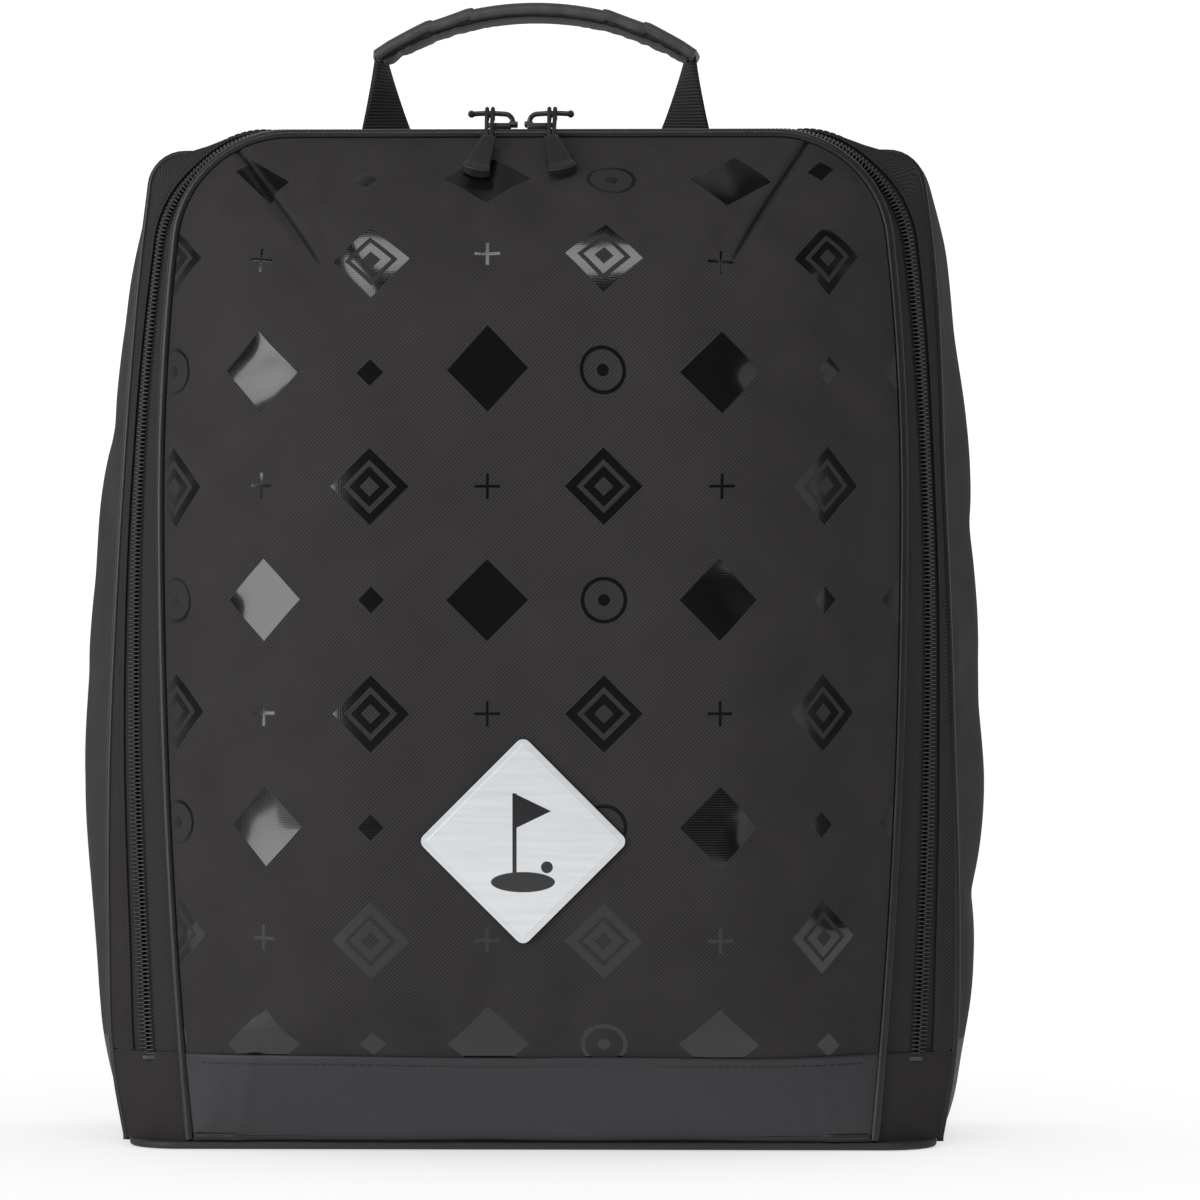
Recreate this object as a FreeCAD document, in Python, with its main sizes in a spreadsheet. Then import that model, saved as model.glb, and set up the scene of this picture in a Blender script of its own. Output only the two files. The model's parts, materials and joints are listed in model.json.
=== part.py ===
import FreeCAD, Part
import math
import os

import Sketcher
from FreeCAD import Placement, Rotation, Vector

# A soft shoe bag: a domed front panel that zips round an arch and folds forward over a leather
# band, a padded case behind it, two zip sliders with cord pulls, and a top carry handle.
# Frame: seen from the front, +X is to the right, +Y to the back and +Z up, with the floor at 0.

os.makedirs("parts", exist_ok=True)
doc = FreeCAD.newDocument("golf_shoe_bag")

# ---------------------------------------------------------------- driving sizes, in mm
# The ring is the outline of the front piping: widest half width, how far that lies below the top,
# top height, corner radius, how much the sides lean in above and draw in below, foot height, and
# how far back its plane stands. The other outlines stand out from it by the given amounts.
RING = {"wide": 135, "drop": 134, "top": 369, "corner": 42, "lean": 5, "draw": 10.5, "low": 3.6, "back": -38}
STATION_WORDS = ("out", "drop", "up", "corner", "lean", "draw", "low", "back")
STATIONS = {
    "chain": (10.5, 180.5, 1.5, 46, 7.5, 8.5, 3.6, -30),
    "hem": (14.5, 214, -0.3, 34, 8.3, 8.3, 3.6, -24.5),
    "seam": (20.5, 266, -3, 12, 9.5, 8, 3.6, -20),
    "belly": (32.5, 229, 0, 14, 17.5, 16.5, 3.6, 28),
    "rear": (31, 228, -1, 16, 17, 17, 3.6, 62),
    "tail": (22, 220, -9, 18, 11, 16, 8, 78),
}
# The dome of the front panel: how far each step stands in from the ring at the sides, the foot
# and the top, and how far back it is.
DOME_WORDS = ("side", "foot", "top", "back")
DOME_STEPS = {
    "dome_rim": (0.2, 0.2, 0.2, -40),
    "dome_low": (10, 8, 12, -51),
    "dome_mid": (26, 33, 33, -65),
    "dome_high": (55, 70, 64, -75),
    "dome_crown": (90, 110, 88, -80),
}
SIZES = {
    "fabric_ply": 1.6, "foam_ply": 3.0, "lining_ply": 0.8, "ply_gap": 0.1, "body_gap": 0.4,
    "dome_lean_share": 0.05, "dome_corner_share": 0.2, "fold_height": 34,
    "base_ply": 3.0, "board_ply": 2.0, "board_inset": 9, "base_round": 26,
    "ring_piping": 1.85, "rim_piping": 1.3, "piping_gap": 0.15,
    "tape_ply": 0.8, "teeth_width": 3.3, "teeth_height": 2.6, "teeth_gap": 1.4,
    "slider_length": 11.4, "slider_spread": 13.8, "slider_middle": -4, "slider_plate": 1.2,
    "slider_width": 9.2, "slider_post": 0.7, "slider_gap": 0.4, "bridge_height": 0.7,
    "bridge_length": 3.2, "bridge_width": 2.4,
    "bail_wire": 0.7, "bail_rise": 1.8, "bail_reach": 13.5, "bail_knob": 1.5,
    "cord_radius": 0.8, "cord_spread": 2.1, "cord_clear": 0.35,
    "tab_top_width": 4.8, "tab_foot_width": 10.5, "tab_length": 18, "tab_thick": 3.0,
    "tab_lean": 37, "tab_splay": 16, "tab_forward": 17, "tab_drop": 10.5, "tab_round": 1,
    "badge_half": 37.5, "badge_round": 3, "badge_ply": 1.3, "badge_height": 114, "badge_middle": -2,
    "handle_back": 28, "handle_reach": 56, "webbing_width": 20, "webbing_ply": 1.8,
    "webbing_twist": 80, "anchor_length": 34, "anchor_width": 24, "anchor_ply": 1.8, "anchor_round": 3,
    "patch_length": 150, "patch_width": 40, "patch_ply": 1.5, "patch_round": 3,
    "hinge_lift": 0.7, "leg_lift": 1.4, "grip_half": 61, "grip_width": 30, "grip_radius": 114,
    "grip_under": 2.0, "grip_ply": 3.0, "grip_rise": 54.5, "core_ply": 1.8,
    "binding_ply": 1.0, "binding_inset": 4.0, "binding_width": 8,
    "stop_size": 5, "stop_ply": 1.6, "stop_inset": 6.5,
}
SIZES.update({f"ring_{word}": value for word, value in RING.items()})
for table, words in ((STATIONS, STATION_WORDS), (DOME_STEPS, DOME_WORDS)):
    for place, numbers in table.items():
        SIZES.update({f"{place}_{word}": value for word, value in zip(words, numbers)})

sheet = doc.addObject("Spreadsheet::Sheet", "Sizes")
for row, (alias, value) in enumerate(SIZES.items(), 1):
    sheet.set(f"A{row}", alias)
    sheet.set(f"B{row}", str(value))
    sheet.setAlias(f"B{row}", alias)
doc.recompute()


class Dim:
    # a length or angle as its number now and the sheet expression that drives it
    def __init__(self, text, number):
        self.text = text
        self.number = number

    def __add__(self, other):
        other = dim(other)
        return Dim(f"({self.text} + {other.text})", self.number + other.number)

    def __sub__(self, other):
        other = dim(other)
        return Dim(f"({self.text} - {other.text})", self.number - other.number)

    def __mul__(self, other):
        other = dim(other)
        return Dim(f"({self.text} * {other.text})", self.number * other.number)

    def __neg__(self):
        return Dim(f"(0 - {self.text})", -self.number)


def dim(value):
    return value if isinstance(value, Dim) else Dim(str(value), float(value))


def size(alias):
    return Dim(f"Sizes.{alias}", float(sheet.get(alias)))


# ---------------------------------------------------------------- helpers
OUTLINE_WORDS = ("foot", "low", "wide", "waist", "flat", "top", "corner", "back")
nodes = {}


def keep(obj, label):
    obj.Label = label
    nodes[label] = obj
    return obj


def add(kind, name, **settings):
    obj = doc.addObject(kind, name)
    for key, value in settings.items():
        setattr(obj, key, value)
    return obj


def bind(obj, **dims):
    for key, value in dims.items():
        obj.setExpression(key.replace("__", "."), dim(value).text)


def move(obj, x=0, y=0, z=0):
    bind(obj, Placement__Base__x=x, Placement__Base__y=y, Placement__Base__z=z)


def named(sketch, name, value, *parts):
    # a driving constraint with a name, bound to its cell
    index = sketch.addConstraint(Sketcher.Constraint(*parts, value.number))
    sketch.renameConstraint(index, name)
    sketch.setExpression(f"Constraints.{name}", value.text)


def at_point(sketch, name, geometry, point, x, y):
    named(sketch, f"{name}X", dim(x), "DistanceX", -1, 1, geometry, point)
    named(sketch, f"{name}Y", dim(y), "DistanceY", -1, 1, geometry, point)


def arc(x, y, radius, start, end):
    return Part.ArcOfCircle(Part.Circle(Vector(x, y, 0), Vector(0, 0, 1), radius), start, end)


def line(x1, y1, x2, y2):
    return Part.LineSegment(Vector(x1, y1, 0), Vector(x2, y2, 0))


def outline_from(wide, drop, top, corner, lean, draw, low, back):
    return {"foot": wide - draw, "low": low, "wide": wide, "waist": top - drop, "flat": wide - corner - lean,
            "top": top, "corner": corner, "back": back}


def grown(outline, grow, shift):
    result = dict(outline)
    for word in ("foot", "wide", "top", "corner"):
        result[word] = outline[word] + grow
    result["low"] = outline["low"] - grow
    result["back"] = outline["back"] + shift
    return result


def station(name, grow=0, back=None):
    ring = {word: size(f"ring_{word}") for word in RING}
    if name == "ring":
        outline = outline_from(**ring)
    else:
        here = {word: size(f"{name}_{word}") for word in STATION_WORDS}
        wide = ring["wide"] + here.pop("out")
        top = ring["top"] + here.pop("up")
        outline = outline_from(wide=wide, top=top, **here)
    if back is not None:
        outline["back"] = dim(back)
    return grown(outline, grow, 0)


def dome_step(name, grow=0):
    ring = {word: size(f"ring_{word}") for word in RING}
    inset = {word: size(f"{name}_{word}") for word in DOME_WORDS}
    outline = outline_from(
        wide=ring["wide"] - inset["side"],
        drop=ring["drop"] - inset["top"],
        top=ring["top"] - inset["top"],
        corner=ring["corner"] - inset["side"] * size("dome_corner_share"),
        lean=ring["lean"] - inset["side"] * size("dome_lean_share"),
        draw=ring["draw"],
        low=ring["low"] + inset["foot"],
        back=inset["back"])
    return grown(outline, grow, -dim(grow))


def arch_sketch(name, outline, closed=True):
    # bottom line, lower side arc, upper side arc, corner arc, top line, and the mirror images
    foot, low, wide, waist, flat, top, corner, back = (outline[word].number for word in OUTLINE_WORDS)
    across = wide - flat
    rise = top - corner - waist
    upper = (across**2 + rise**2 - corner**2) / (2 * (across - corner))
    lower = ((wide - foot) ** 2 + (waist - low) ** 2) / (2 * (wide - foot))
    turn = math.atan2(rise, flat - wide + upper)
    dip = math.atan2(low - waist, foot - wide + lower)
    sketch = add("Sketcher::SketchObject", name)
    sketch.Placement = Placement(Vector(0, back, 0), Rotation(Vector(1, 0, 0), 90))
    bind(sketch, Placement__Base__y=outline["back"])
    sketch.addGeometry([
        line(-foot, low, foot, low),
        arc(wide - lower, waist, lower, dip, 0),
        arc(wide - upper, waist, upper, 0, turn),
        arc(flat, top - corner, corner, turn, math.pi / 2),
        line(flat, top, -flat, top),
        arc(-flat, top - corner, corner, math.pi / 2, math.pi - turn),
        arc(upper - wide, waist, upper, math.pi - turn, math.pi),
        arc(lower - wide, waist, lower, math.pi, math.pi - dip),
    ])
    rules = [("Coincident", 0, 2, 1, 1), ("Coincident", 7, 2, 0, 1)]
    rules += [("Tangent", index, 2, index + 1, 1) for index in range(1, 7)]
    rules += [("Symmetric", 0, 1, 0, 2, -2), ("Symmetric", 4, 1, 4, 2, -2), ("Symmetric", 2, 1, 6, 2, -2)]
    rules += [("Horizontal", 2, 3, 2, 1), ("Horizontal", 6, 3, 6, 2), ("Equal", 3, 5)]
    sketch.addConstraint([Sketcher.Constraint(*rule) for rule in rules])
    at_point(sketch, "Foot", 0, 2, outline["foot"], outline["low"])
    at_point(sketch, "Wide", 2, 1, outline["wide"], outline["waist"])
    at_point(sketch, "Flat", 3, 2, outline["flat"], outline["top"])
    named(sketch, "Corner", outline["corner"], "Radius", 3)
    if not closed:
        sketch.toggleConstruction(0)
    return sketch


def loft(name, sketches, ruled=True):
    return add("Part::Loft", name, Sections=sketches, Solid=True, Ruled=ruled)


def arch_loft(name, outlines):
    return loft(name, [arch_sketch(f"{name}_{index}", outline) for index, outline in enumerate(outlines)])


def cut(name, base, tool):
    return add("Part::Cut", name, Base=base, Tool=tool)


def common(name, base, tool):
    return add("Part::Common", name, Base=base, Tool=tool)


def box(name, low, high):
    obj = add("Part::Box", name)
    sides = [dim(top) - dim(bottom) for bottom, top in zip(low, high)]
    bind(obj, Length=sides[0], Width=sides[1], Height=sides[2])
    move(obj, *low)
    return obj


def circle_sketch(name, radius, placement, x=0, y=0, z=0):
    sketch = add("Sketcher::SketchObject", name, Placement=placement)
    sketch.addGeometry(Part.Circle(Vector(0, 0, 0), Vector(0, 0, 1), radius.number))
    sketch.addConstraint(Sketcher.Constraint("Coincident", 0, 3, -1, 1))
    named(sketch, "Radius", radius, "Radius", 0)
    move(sketch, x, y, z)
    return sketch


def sweep(name, section, spine):
    edges = [f"Edge{index + 1}" for index in range(len(spine.Shape.Edges))]
    return add("Part::Sweep", name, Sections=[section], Spine=(spine, edges), Solid=True, Frenet=False)


def plane(body, role):
    return next(part for part in body.Origin.OriginFeatures if part.Role == role)


def body_sketch(body, name, role, offset=None):
    sketch = body.newObject("Sketcher::SketchObject", name)
    sketch.AttachmentSupport = (plane(body, role), "")
    sketch.MapMode = "FlatFace"
    if offset is not None:
        sketch.setExpression("AttachmentOffset.Base.z", offset.text)
    return sketch


def polygon(sketch, corners):
    # straight edges through the corners, each corner fixed by its two distances
    count = len(corners)
    points = [(dim(x), dim(y)) for x, y in corners]
    for index in range(count):
        (x1, y1), (x2, y2) = points[index], points[(index + 1) % count]
        sketch.addGeometry(line(x1.number, y1.number, x2.number, y2.number))
    joints = [Sketcher.Constraint("Coincident", index, 2, (index + 1) % count, 1) for index in range(count)]
    sketch.addConstraint(joints)
    for index, (x, y) in enumerate(points):
        at_point(sketch, f"Corner{index}", index, 1, x, y)


def pad(body, name, sketch, length, midplane=False):
    feature = body.newObject("PartDesign::Pad", name)
    feature.Profile = sketch
    feature.Midplane = midplane
    feature.setExpression("Length", dim(length).text)
    body.Tip = feature
    return feature


def fillet(body, name, base, radius, chosen):
    # rounds the edges that a test picks
    doc.recompute()
    edges = [f"Edge{index + 1}" for index, edge in enumerate(base.Shape.Edges) if chosen(edge)]
    feature = body.newObject("PartDesign::Fillet", name)
    feature.Base = (base, edges)
    feature.setExpression("Radius", dim(radius).text)
    body.Tip = feature
    return feature


def runs_along(axis):
    def test(edge):
        if not isinstance(edge.Curve, Part.Line):
            return False
        return abs(edge.Curve.Direction.dot(axis)) > 0.999
    return test


def plate(label, low, high, thick, z, corner):
    # a flat rectangle with round corners, lying level
    body = add("PartDesign::Body", label)
    sketch = body_sketch(body, f"{label}_outline", "XY_Plane", dim(z))
    (x1, y1), (x2, y2) = low, high
    polygon(sketch, [(x1, y1), (x2, y1), (x2, y2), (x1, y2)])
    slab = pad(body, f"{label}_slab", sketch, thick)
    if corner is not None:
        fillet(body, f"{label}_round", slab, corner, runs_along(Vector(0, 0, 1)))
    return keep(body, label)


# ---------------------------------------------------------------- shared distances and regions
fabric_in = -size("fabric_ply")
foam_out = fabric_in - size("ply_gap")
foam_in = foam_out - size("foam_ply")
lining_out = foam_in - size("ply_gap")
lining_in = lining_out - size("lining_ply")
wall = -lining_in
floor_top = size("base_ply") + size("ply_gap")
flap_foot = size("fold_height") + size("body_gap")
lip_top = size("fold_height") - size("body_gap")
dome_face = size("dome_rim_back")
FAR = 260
TALL = 460

flap_region = box("flap_region", (-FAR, -FAR, flap_foot), (FAR, dome_face, TALL))
lip_region = box("lip_region", (-FAR, -FAR, floor_top), (FAR, dome_face, lip_top))
split = station("tail")["flat"]
split_in = split - size("ply_gap")
left_region = box("left_region", (-FAR, -FAR, floor_top), (-split, FAR, TALL))
right_region = box("right_region", (split, -FAR, floor_top), (FAR, FAR, TALL))
top_region = box("top_region", (-split_in, -FAR, station("belly")["waist"]), (split_in, FAR, TALL))

# ---------------------------------------------------------------- case behind the zip
panel_front = size("seam_back") + size("rim_piping") + size("piping_gap")


def case_loft(name, grow):
    front = station("seam", grow, panel_front)
    return arch_loft(name, [front] + [station(word, grow) for word in ("belly", "rear", "tail")])


def case_shell(name, outer, inner):
    return cut(name, case_loft(f"{name}_outer", outer), case_loft(f"{name}_inner", inner))


fabric_shell = case_shell("case_fabric", dim(0), fabric_in)
foam_shell = case_shell("case_foam", foam_out, foam_in)
for side, region in (("left", left_region), ("right", right_region)):
    keep(common(f"side_panel_{side}", fabric_shell, region), f"side_panel_{side}")
    keep(common(f"side_foam_{side}", foam_shell, region), f"side_foam_{side}")
keep(common("top_panel", fabric_shell, top_region), "top_panel")
keep(common("top_foam", foam_shell, top_region), "top_foam")
keep(case_shell("case_lining", lining_out, lining_in), "case_lining")


def back_plate(label, grow, near, thick):
    # an arch plate across the back, near its front face
    keep(arch_loft(label, [station("tail", grow, near), station("tail", grow, near + thick)]), label)


back_clear = lining_in - size("ply_gap")
back_inner = size("tail_back") - size("foam_ply")
back_plate("back_panel", 0, size("tail_back") + size("ply_gap"), size("fabric_ply"))
back_plate("back_foam", back_clear, back_inner, size("foam_ply"))
back_plate("back_lining", back_clear, back_inner - size("ply_gap") - size("lining_ply"), size("lining_ply"))

# ---------------------------------------------------------------- base
base_half = station("belly")["foot"] - size("ply_gap")
base_front = size("ring_back") - size("ring_piping")
plate("base_panel", (-base_half, base_front), (base_half, size("tail_back")), size("base_ply"), 0,
      size("base_round"))
board_half = station("ring")["foot"] - size("board_inset")
board_back = size("tail_back") - size("foam_ply") - size("board_inset")
board_floor = floor_top + size("ply_gap")
board_front = size("ring_back") + size("board_inset")
plate("base_board", (-board_half, board_front), (board_half, board_back), size("board_ply"), board_floor,
      size("board_inset"))
plate("base_foam", (-board_half, board_front), (board_half, board_back), size("foam_ply"),
      board_floor + size("board_ply") + size("ply_gap"), size("board_inset"))

# ---------------------------------------------------------------- domed front: flap and lip
def dome_loft(name, grow):
    return arch_loft(name, [dome_step(step, grow) for step in DOME_STEPS])


def dome_shell(name, outer, inner):
    return cut(name, dome_loft(f"{name}_outer", outer), dome_loft(f"{name}_inner", inner))


for ply, outer, inner in (("panel", dim(0), fabric_in), ("foam", foam_out, foam_in),
                          ("lining", lining_out, lining_in)):
    shell = dome_shell(f"dome_{ply}", outer, inner)
    keep(common(f"front_{ply}", shell, flap_region), f"front_{ply}")
    lip_label = {"panel": "leather_band", "foam": "band_foam", "lining": "band_lining"}[ply]
    keep(common(lip_label, shell, lip_region), lip_label)

badge_blank = add("PartDesign::Body", "badge_blank")
badge_sketch = body_sketch(badge_blank, "badge_outline", "XZ_Plane")
badge_x = size("badge_middle")
badge_z = size("badge_height")
badge_half = size("badge_half")
polygon(badge_sketch, [(badge_x, badge_z - badge_half), (badge_x + badge_half, badge_z),
                       (badge_x, badge_z + badge_half), (badge_x - badge_half, badge_z)])
badge_prism = pad(badge_blank, "badge_prism", badge_sketch, FAR)
fillet(badge_blank, "badge_round_corners", badge_prism, size("badge_round"), runs_along(Vector(0, 1, 0)))
badge_face = size("ply_gap") + size("badge_ply")
keep(common("badge", dome_shell("badge_skin", badge_face, size("ply_gap")), badge_blank), "badge")

# ---------------------------------------------------------------- piping round the flap and the case
upright = Placement(Vector(0, 0, 0), Rotation())


def piping(name, word, radius):
    path = arch_sketch(f"{name}_path", station(word), closed=False)
    doc.recompute()
    start = station(word)
    section = circle_sketch(f"{name}_section", radius, upright, start["foot"], start["back"], start["low"])
    return sweep(name, section, path)


ring_tube = piping("ring_tube", "ring", size("ring_piping"))
above_fold = box("above_fold", (-FAR, -FAR, flap_foot), (FAR, FAR, TALL))
keep(common("front_piping", ring_tube, above_fold), "front_piping")
for side, low_x, high_x in (("left", -FAR, 0), ("right", 0, FAR)):
    foot_region = box(f"foot_region_{side}", (low_x, -FAR, floor_top), (high_x, FAR, lip_top))
    keep(common(f"piping_foot_{side}", ring_tube, foot_region), f"piping_foot_{side}")
above_floor = box("above_floor", (-FAR, -FAR, floor_top), (FAR, FAR, TALL))
keep(common("rim_piping_node", piping("rim_tube", "seam", size("rim_piping")), above_floor), "rim_piping")

# ---------------------------------------------------------------- zip: tapes, teeth, stops, gusset ends
half_slit = size("teeth_gap") * 0.5
inner_teeth_front = size("chain_back") - half_slit - size("teeth_width")
outer_teeth_front = size("chain_back") + half_slit
outer_teeth_back = outer_teeth_front + size("teeth_width")
ring_edge = size("ring_back") + size("ring_piping") + size("piping_gap")
rim_edge = size("seam_back") - size("rim_piping") - size("piping_gap")
above_lip = box("above_lip", (-FAR, -FAR, lip_top), (FAR, FAR, TALL))


def strip(name, outlines, thick):
    # a thin wall through the outlines, of one thickness inwards
    inner = [grown(outline, -dim(thick), 0) for outline in outlines]
    return cut(name, arch_loft(f"{name}_outer", outlines), arch_loft(f"{name}_inner", inner))


half_height = size("teeth_height") * 0.5
tape_near = outer_teeth_back + size("ply_gap")
hem_edge = size("hem_back") + size("ply_gap")
inner_tape = strip("inner_tape", [
    station("ring", 0, ring_edge), station("chain", 0, inner_teeth_front - size("ply_gap"))], size("tape_ply"))
outer_tape = strip("outer_tape", [station("chain", 0, tape_near), station("hem")], size("tape_ply"))
surround = strip("surround", [station("hem", 0, hem_edge), station("seam", 0, rim_edge)], size("tape_ply"))
inner_teeth = strip("inner_teeth", [
    station("chain", half_height, inner_teeth_front),
    station("chain", half_height, inner_teeth_front + size("teeth_width"))], size("teeth_height"))
outer_teeth = strip("outer_teeth", [
    station("chain", half_height, outer_teeth_front),
    station("chain", half_height, outer_teeth_back)], size("teeth_height"))
for label, shape, region in (("zip_tape_inner", inner_tape, above_fold),
                             ("zip_tape_outer", outer_tape, above_lip),
                             ("zip_surround", surround, above_lip),
                             ("zip_teeth_inner", inner_teeth, above_fold),
                             ("zip_teeth_outer", outer_teeth, above_lip)):
    keep(common(label, shape, region), label)

gusset = strip("gusset", [station("ring", 0, ring_edge), station("seam", 0, rim_edge)], size("fabric_ply"))
gusset_top = lip_top - size("ply_gap") - size("stop_ply")
for side, low_x, high_x in (("left", -FAR, -split), ("right", split, FAR)):
    end_region = box(f"end_region_{side}", (low_x, -FAR, floor_top), (high_x, FAR, gusset_top))
    keep(common(f"gusset_end_{side}", gusset, end_region), f"gusset_end_{side}")

binding_out = -size("binding_inset")
binding = strip("flap_binding_strip", [
    station("ring", binding_out, ring_edge), station("ring", binding_out, ring_edge + size("binding_width"))],
    size("binding_ply"))
keep(common("flap_binding", binding, above_fold), "flap_binding")

stop_half = size("stop_size") * 0.5
stop_middle = station("chain")["wide"] - size("stop_inset")
for side, sign in (("left", -1), ("right", 1)):
    middle = stop_middle * sign
    plate(f"zip_stop_{side}", (middle - stop_half, size("chain_back") - stop_half),
          (middle + stop_half, size("chain_back") + stop_half), size("stop_ply"), gusset_top + size("ply_gap"),
          None)

# ---------------------------------------------------------------- sliders, bails, cords and tabs
chain_top = station("chain")["top"]
teeth_top = chain_top + half_height
teeth_foot = chain_top - half_height
plate_low = teeth_top + size("slider_gap")
plate_high = plate_low + size("slider_plate")
wing_high = teeth_foot - size("slider_gap")
wing_low = wing_high - size("slider_plate")
post_half = size("slider_post") * 0.5
slider_half = size("slider_width") * 0.5
pivot_z = plate_high + size("bridge_height") + size("body_gap") + size("bail_wire")
bar_z = pivot_z + size("bail_rise")
wire = size("bail_wire")
for side, sign in (("left", -1), ("right", 1)):
    slider_x = size("slider_middle") + size("slider_spread") * (0.5 * sign)
    pivot_x = slider_x - (size("slider_length") - size("bridge_length")) * (0.5 * sign)

    # the slider's top plate, the post in the slit of the teeth, and the wing under the front teeth
    slider = add("PartDesign::Body", f"slider_{side}")
    profile = body_sketch(slider, f"slider_{side}_profile", "YZ_Plane")
    y = size("chain_back")
    polygon(profile, [
        (y - slider_half, plate_low), (y - post_half, plate_low), (y - post_half, wing_high),
        (y - slider_half, wing_high), (y - slider_half, wing_low), (y + post_half, wing_low),
        (y + post_half, plate_low), (y + slider_half, plate_low), (y + slider_half, plate_high),
        (y - slider_half, plate_high)])
    slider_pad = pad(slider, f"slider_{side}_pad", profile, size("slider_length"), midplane=True)
    bridge = body_sketch(slider, f"slider_{side}_bridge_outline", "XY_Plane", plate_high)
    inner = (size("slider_length") * 0.5 - size("bridge_length")) * sign
    outer = size("slider_length") * (0.5 * sign)
    half_bridge = size("bridge_width") * 0.5
    polygon(bridge, [(-outer, y - half_bridge), (-inner, y - half_bridge), (-inner, y + half_bridge),
                     (-outer, y + half_bridge)])
    pad(slider, f"slider_{side}_bridge", bridge, size("bridge_height"))
    move(slider, slider_x)
    keep(slider, f"slider_{side}")

    # the bail: a wire that rises from the bridge, turns outwards and ends in a knob
    facing = Rotation(Vector(0, 0, 1), 90 - 90 * sign)
    spine = add("Sketcher::SketchObject", f"bail_path_{side}", Placement=Placement(
        Vector(0, 0, 0), facing * Rotation(Vector(1, 0, 0), 90)))
    rise = size("bail_rise").number
    reach = size("bail_reach").number
    spine.addGeometry(arc(rise, 0, rise, math.pi / 2, math.pi))
    spine.addGeometry(line(rise, rise, reach + rise, rise))
    spine.addConstraint(Sketcher.Constraint("Tangent", 0, 1, 1, 1))
    at_point(spine, "Start", 0, 2, 0, 0)
    named(spine, "Rise", size("bail_rise"), "Radius", 0)
    at_point(spine, "Bar", 1, 2, size("bail_rise") + size("bail_reach"), size("bail_rise"))
    move(spine, pivot_x, y, pivot_z)
    doc.recompute()
    ring_face = circle_sketch(f"bail_section_{side}", wire, upright, pivot_x, y, pivot_z)
    wire_tube = sweep(f"bail_wire_{side}", ring_face, spine)
    knob = add("Part::Sphere", f"bail_knob_{side}", Placement=Placement(Vector(0, 0, 0), facing))
    bind(knob, Radius=size("bail_knob"))
    bar_end = pivot_x + (size("bail_rise") + size("bail_reach")) * sign
    move(knob, bar_end, y, bar_z)
    keep(add("Part::Fuse", f"pull_bail_{side}", Base=wire_tube, Tool=knob), f"pull_bail_{side}")

    # two strands of cord over the bail, down to a leather tab that leans on the dome
    loop_x = bar_end - (size("bail_reach") * 0.5) * sign
    lean = math.radians(size("tab_lean").number)
    round_bar = wire + size("cord_clear") + size("cord_radius")
    strands = []
    for strand in (-1, 1):
        path = add("Sketcher::SketchObject", f"cord_path_{side}_{strand + 1}", Placement=Placement(
            Vector(0, 0, 0), Rotation(Vector(1, 1, 1), 120)))
        forward = size("tab_forward").number
        drop = size("tab_drop").number
        slope = math.atan2(drop, forward)
        slip = math.asin(round_bar.number / math.hypot(forward, drop))
        leave = math.pi / 2 + slope - slip
        path.addGeometry(arc(0, 0, round_bar.number, 0, leave))
        path.addGeometry(line(round_bar.number * math.cos(leave), round_bar.number * math.sin(leave),
                              -forward, -drop))
        path.addConstraint([Sketcher.Constraint("Tangent", 0, 2, 1, 1),
                            Sketcher.Constraint("Coincident", 0, 3, -1, 1),
                            Sketcher.Constraint("PointOnObject", 0, 1, -1)])
        named(path, "Turn", round_bar, "Radius", 0)
        at_point(path, "End", 1, 2, -size("tab_forward"), -size("tab_drop"))
        strand_x = loop_x + size("cord_spread") * (0.5 * strand)
        move(path, strand_x, y, bar_z)
        doc.recompute()
        disc = circle_sketch(f"cord_section_{side}_{strand + 1}", size("cord_radius"), upright, strand_x,
                             y + round_bar, bar_z)
        strands.append(sweep(f"cord_strand_{side}_{strand + 1}", disc, path))
    keep(add("Part::Fuse", f"pull_cord_{side}", Base=strands[0], Tool=strands[1]), f"pull_cord_{side}")

    tab = add("PartDesign::Body", f"pull_tab_{side}")
    flare = body_sketch(tab, f"pull_tab_{side}_outline", "XZ_Plane")
    top_half = size("tab_top_width") * 0.5
    foot_half = size("tab_foot_width") * 0.5
    neck = -size("cord_radius")
    polygon(flare, [(-foot_half, -size("tab_length")), (foot_half, -size("tab_length")), (top_half, neck),
                    (-top_half, neck)])
    tab_pad = pad(tab, f"pull_tab_{side}_pad", flare, size("tab_thick"), midplane=True)
    fillet(tab, f"pull_tab_{side}_round", tab_pad, size("tab_round"), runs_along(Vector(0, 1, 0)))
    turn = Rotation(Vector(1, 0, 0), -size("tab_lean").number)
    splay = Rotation(Vector(0, 1, 0), size("tab_splay").number * -sign)
    tab.Placement = Placement(Vector(0, 0, 0), turn * splay)
    move(tab, loop_x, y - size("tab_forward"), bar_z - size("tab_drop"))
    keep(tab, f"pull_tab_{side}")

# ---------------------------------------------------------------- handle
case_top = station("belly")["top"]
grip_top = case_top + size("grip_rise")
anchor_z = case_top + size("ply_gap")
hinge_z = anchor_z + size("anchor_ply") + size("hinge_lift")
leg_foot = hinge_z + size("leg_lift")
handle_y = size("handle_back")
half_anchor = size("anchor_width") * 0.5
half_length = size("anchor_length") * 0.5


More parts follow.
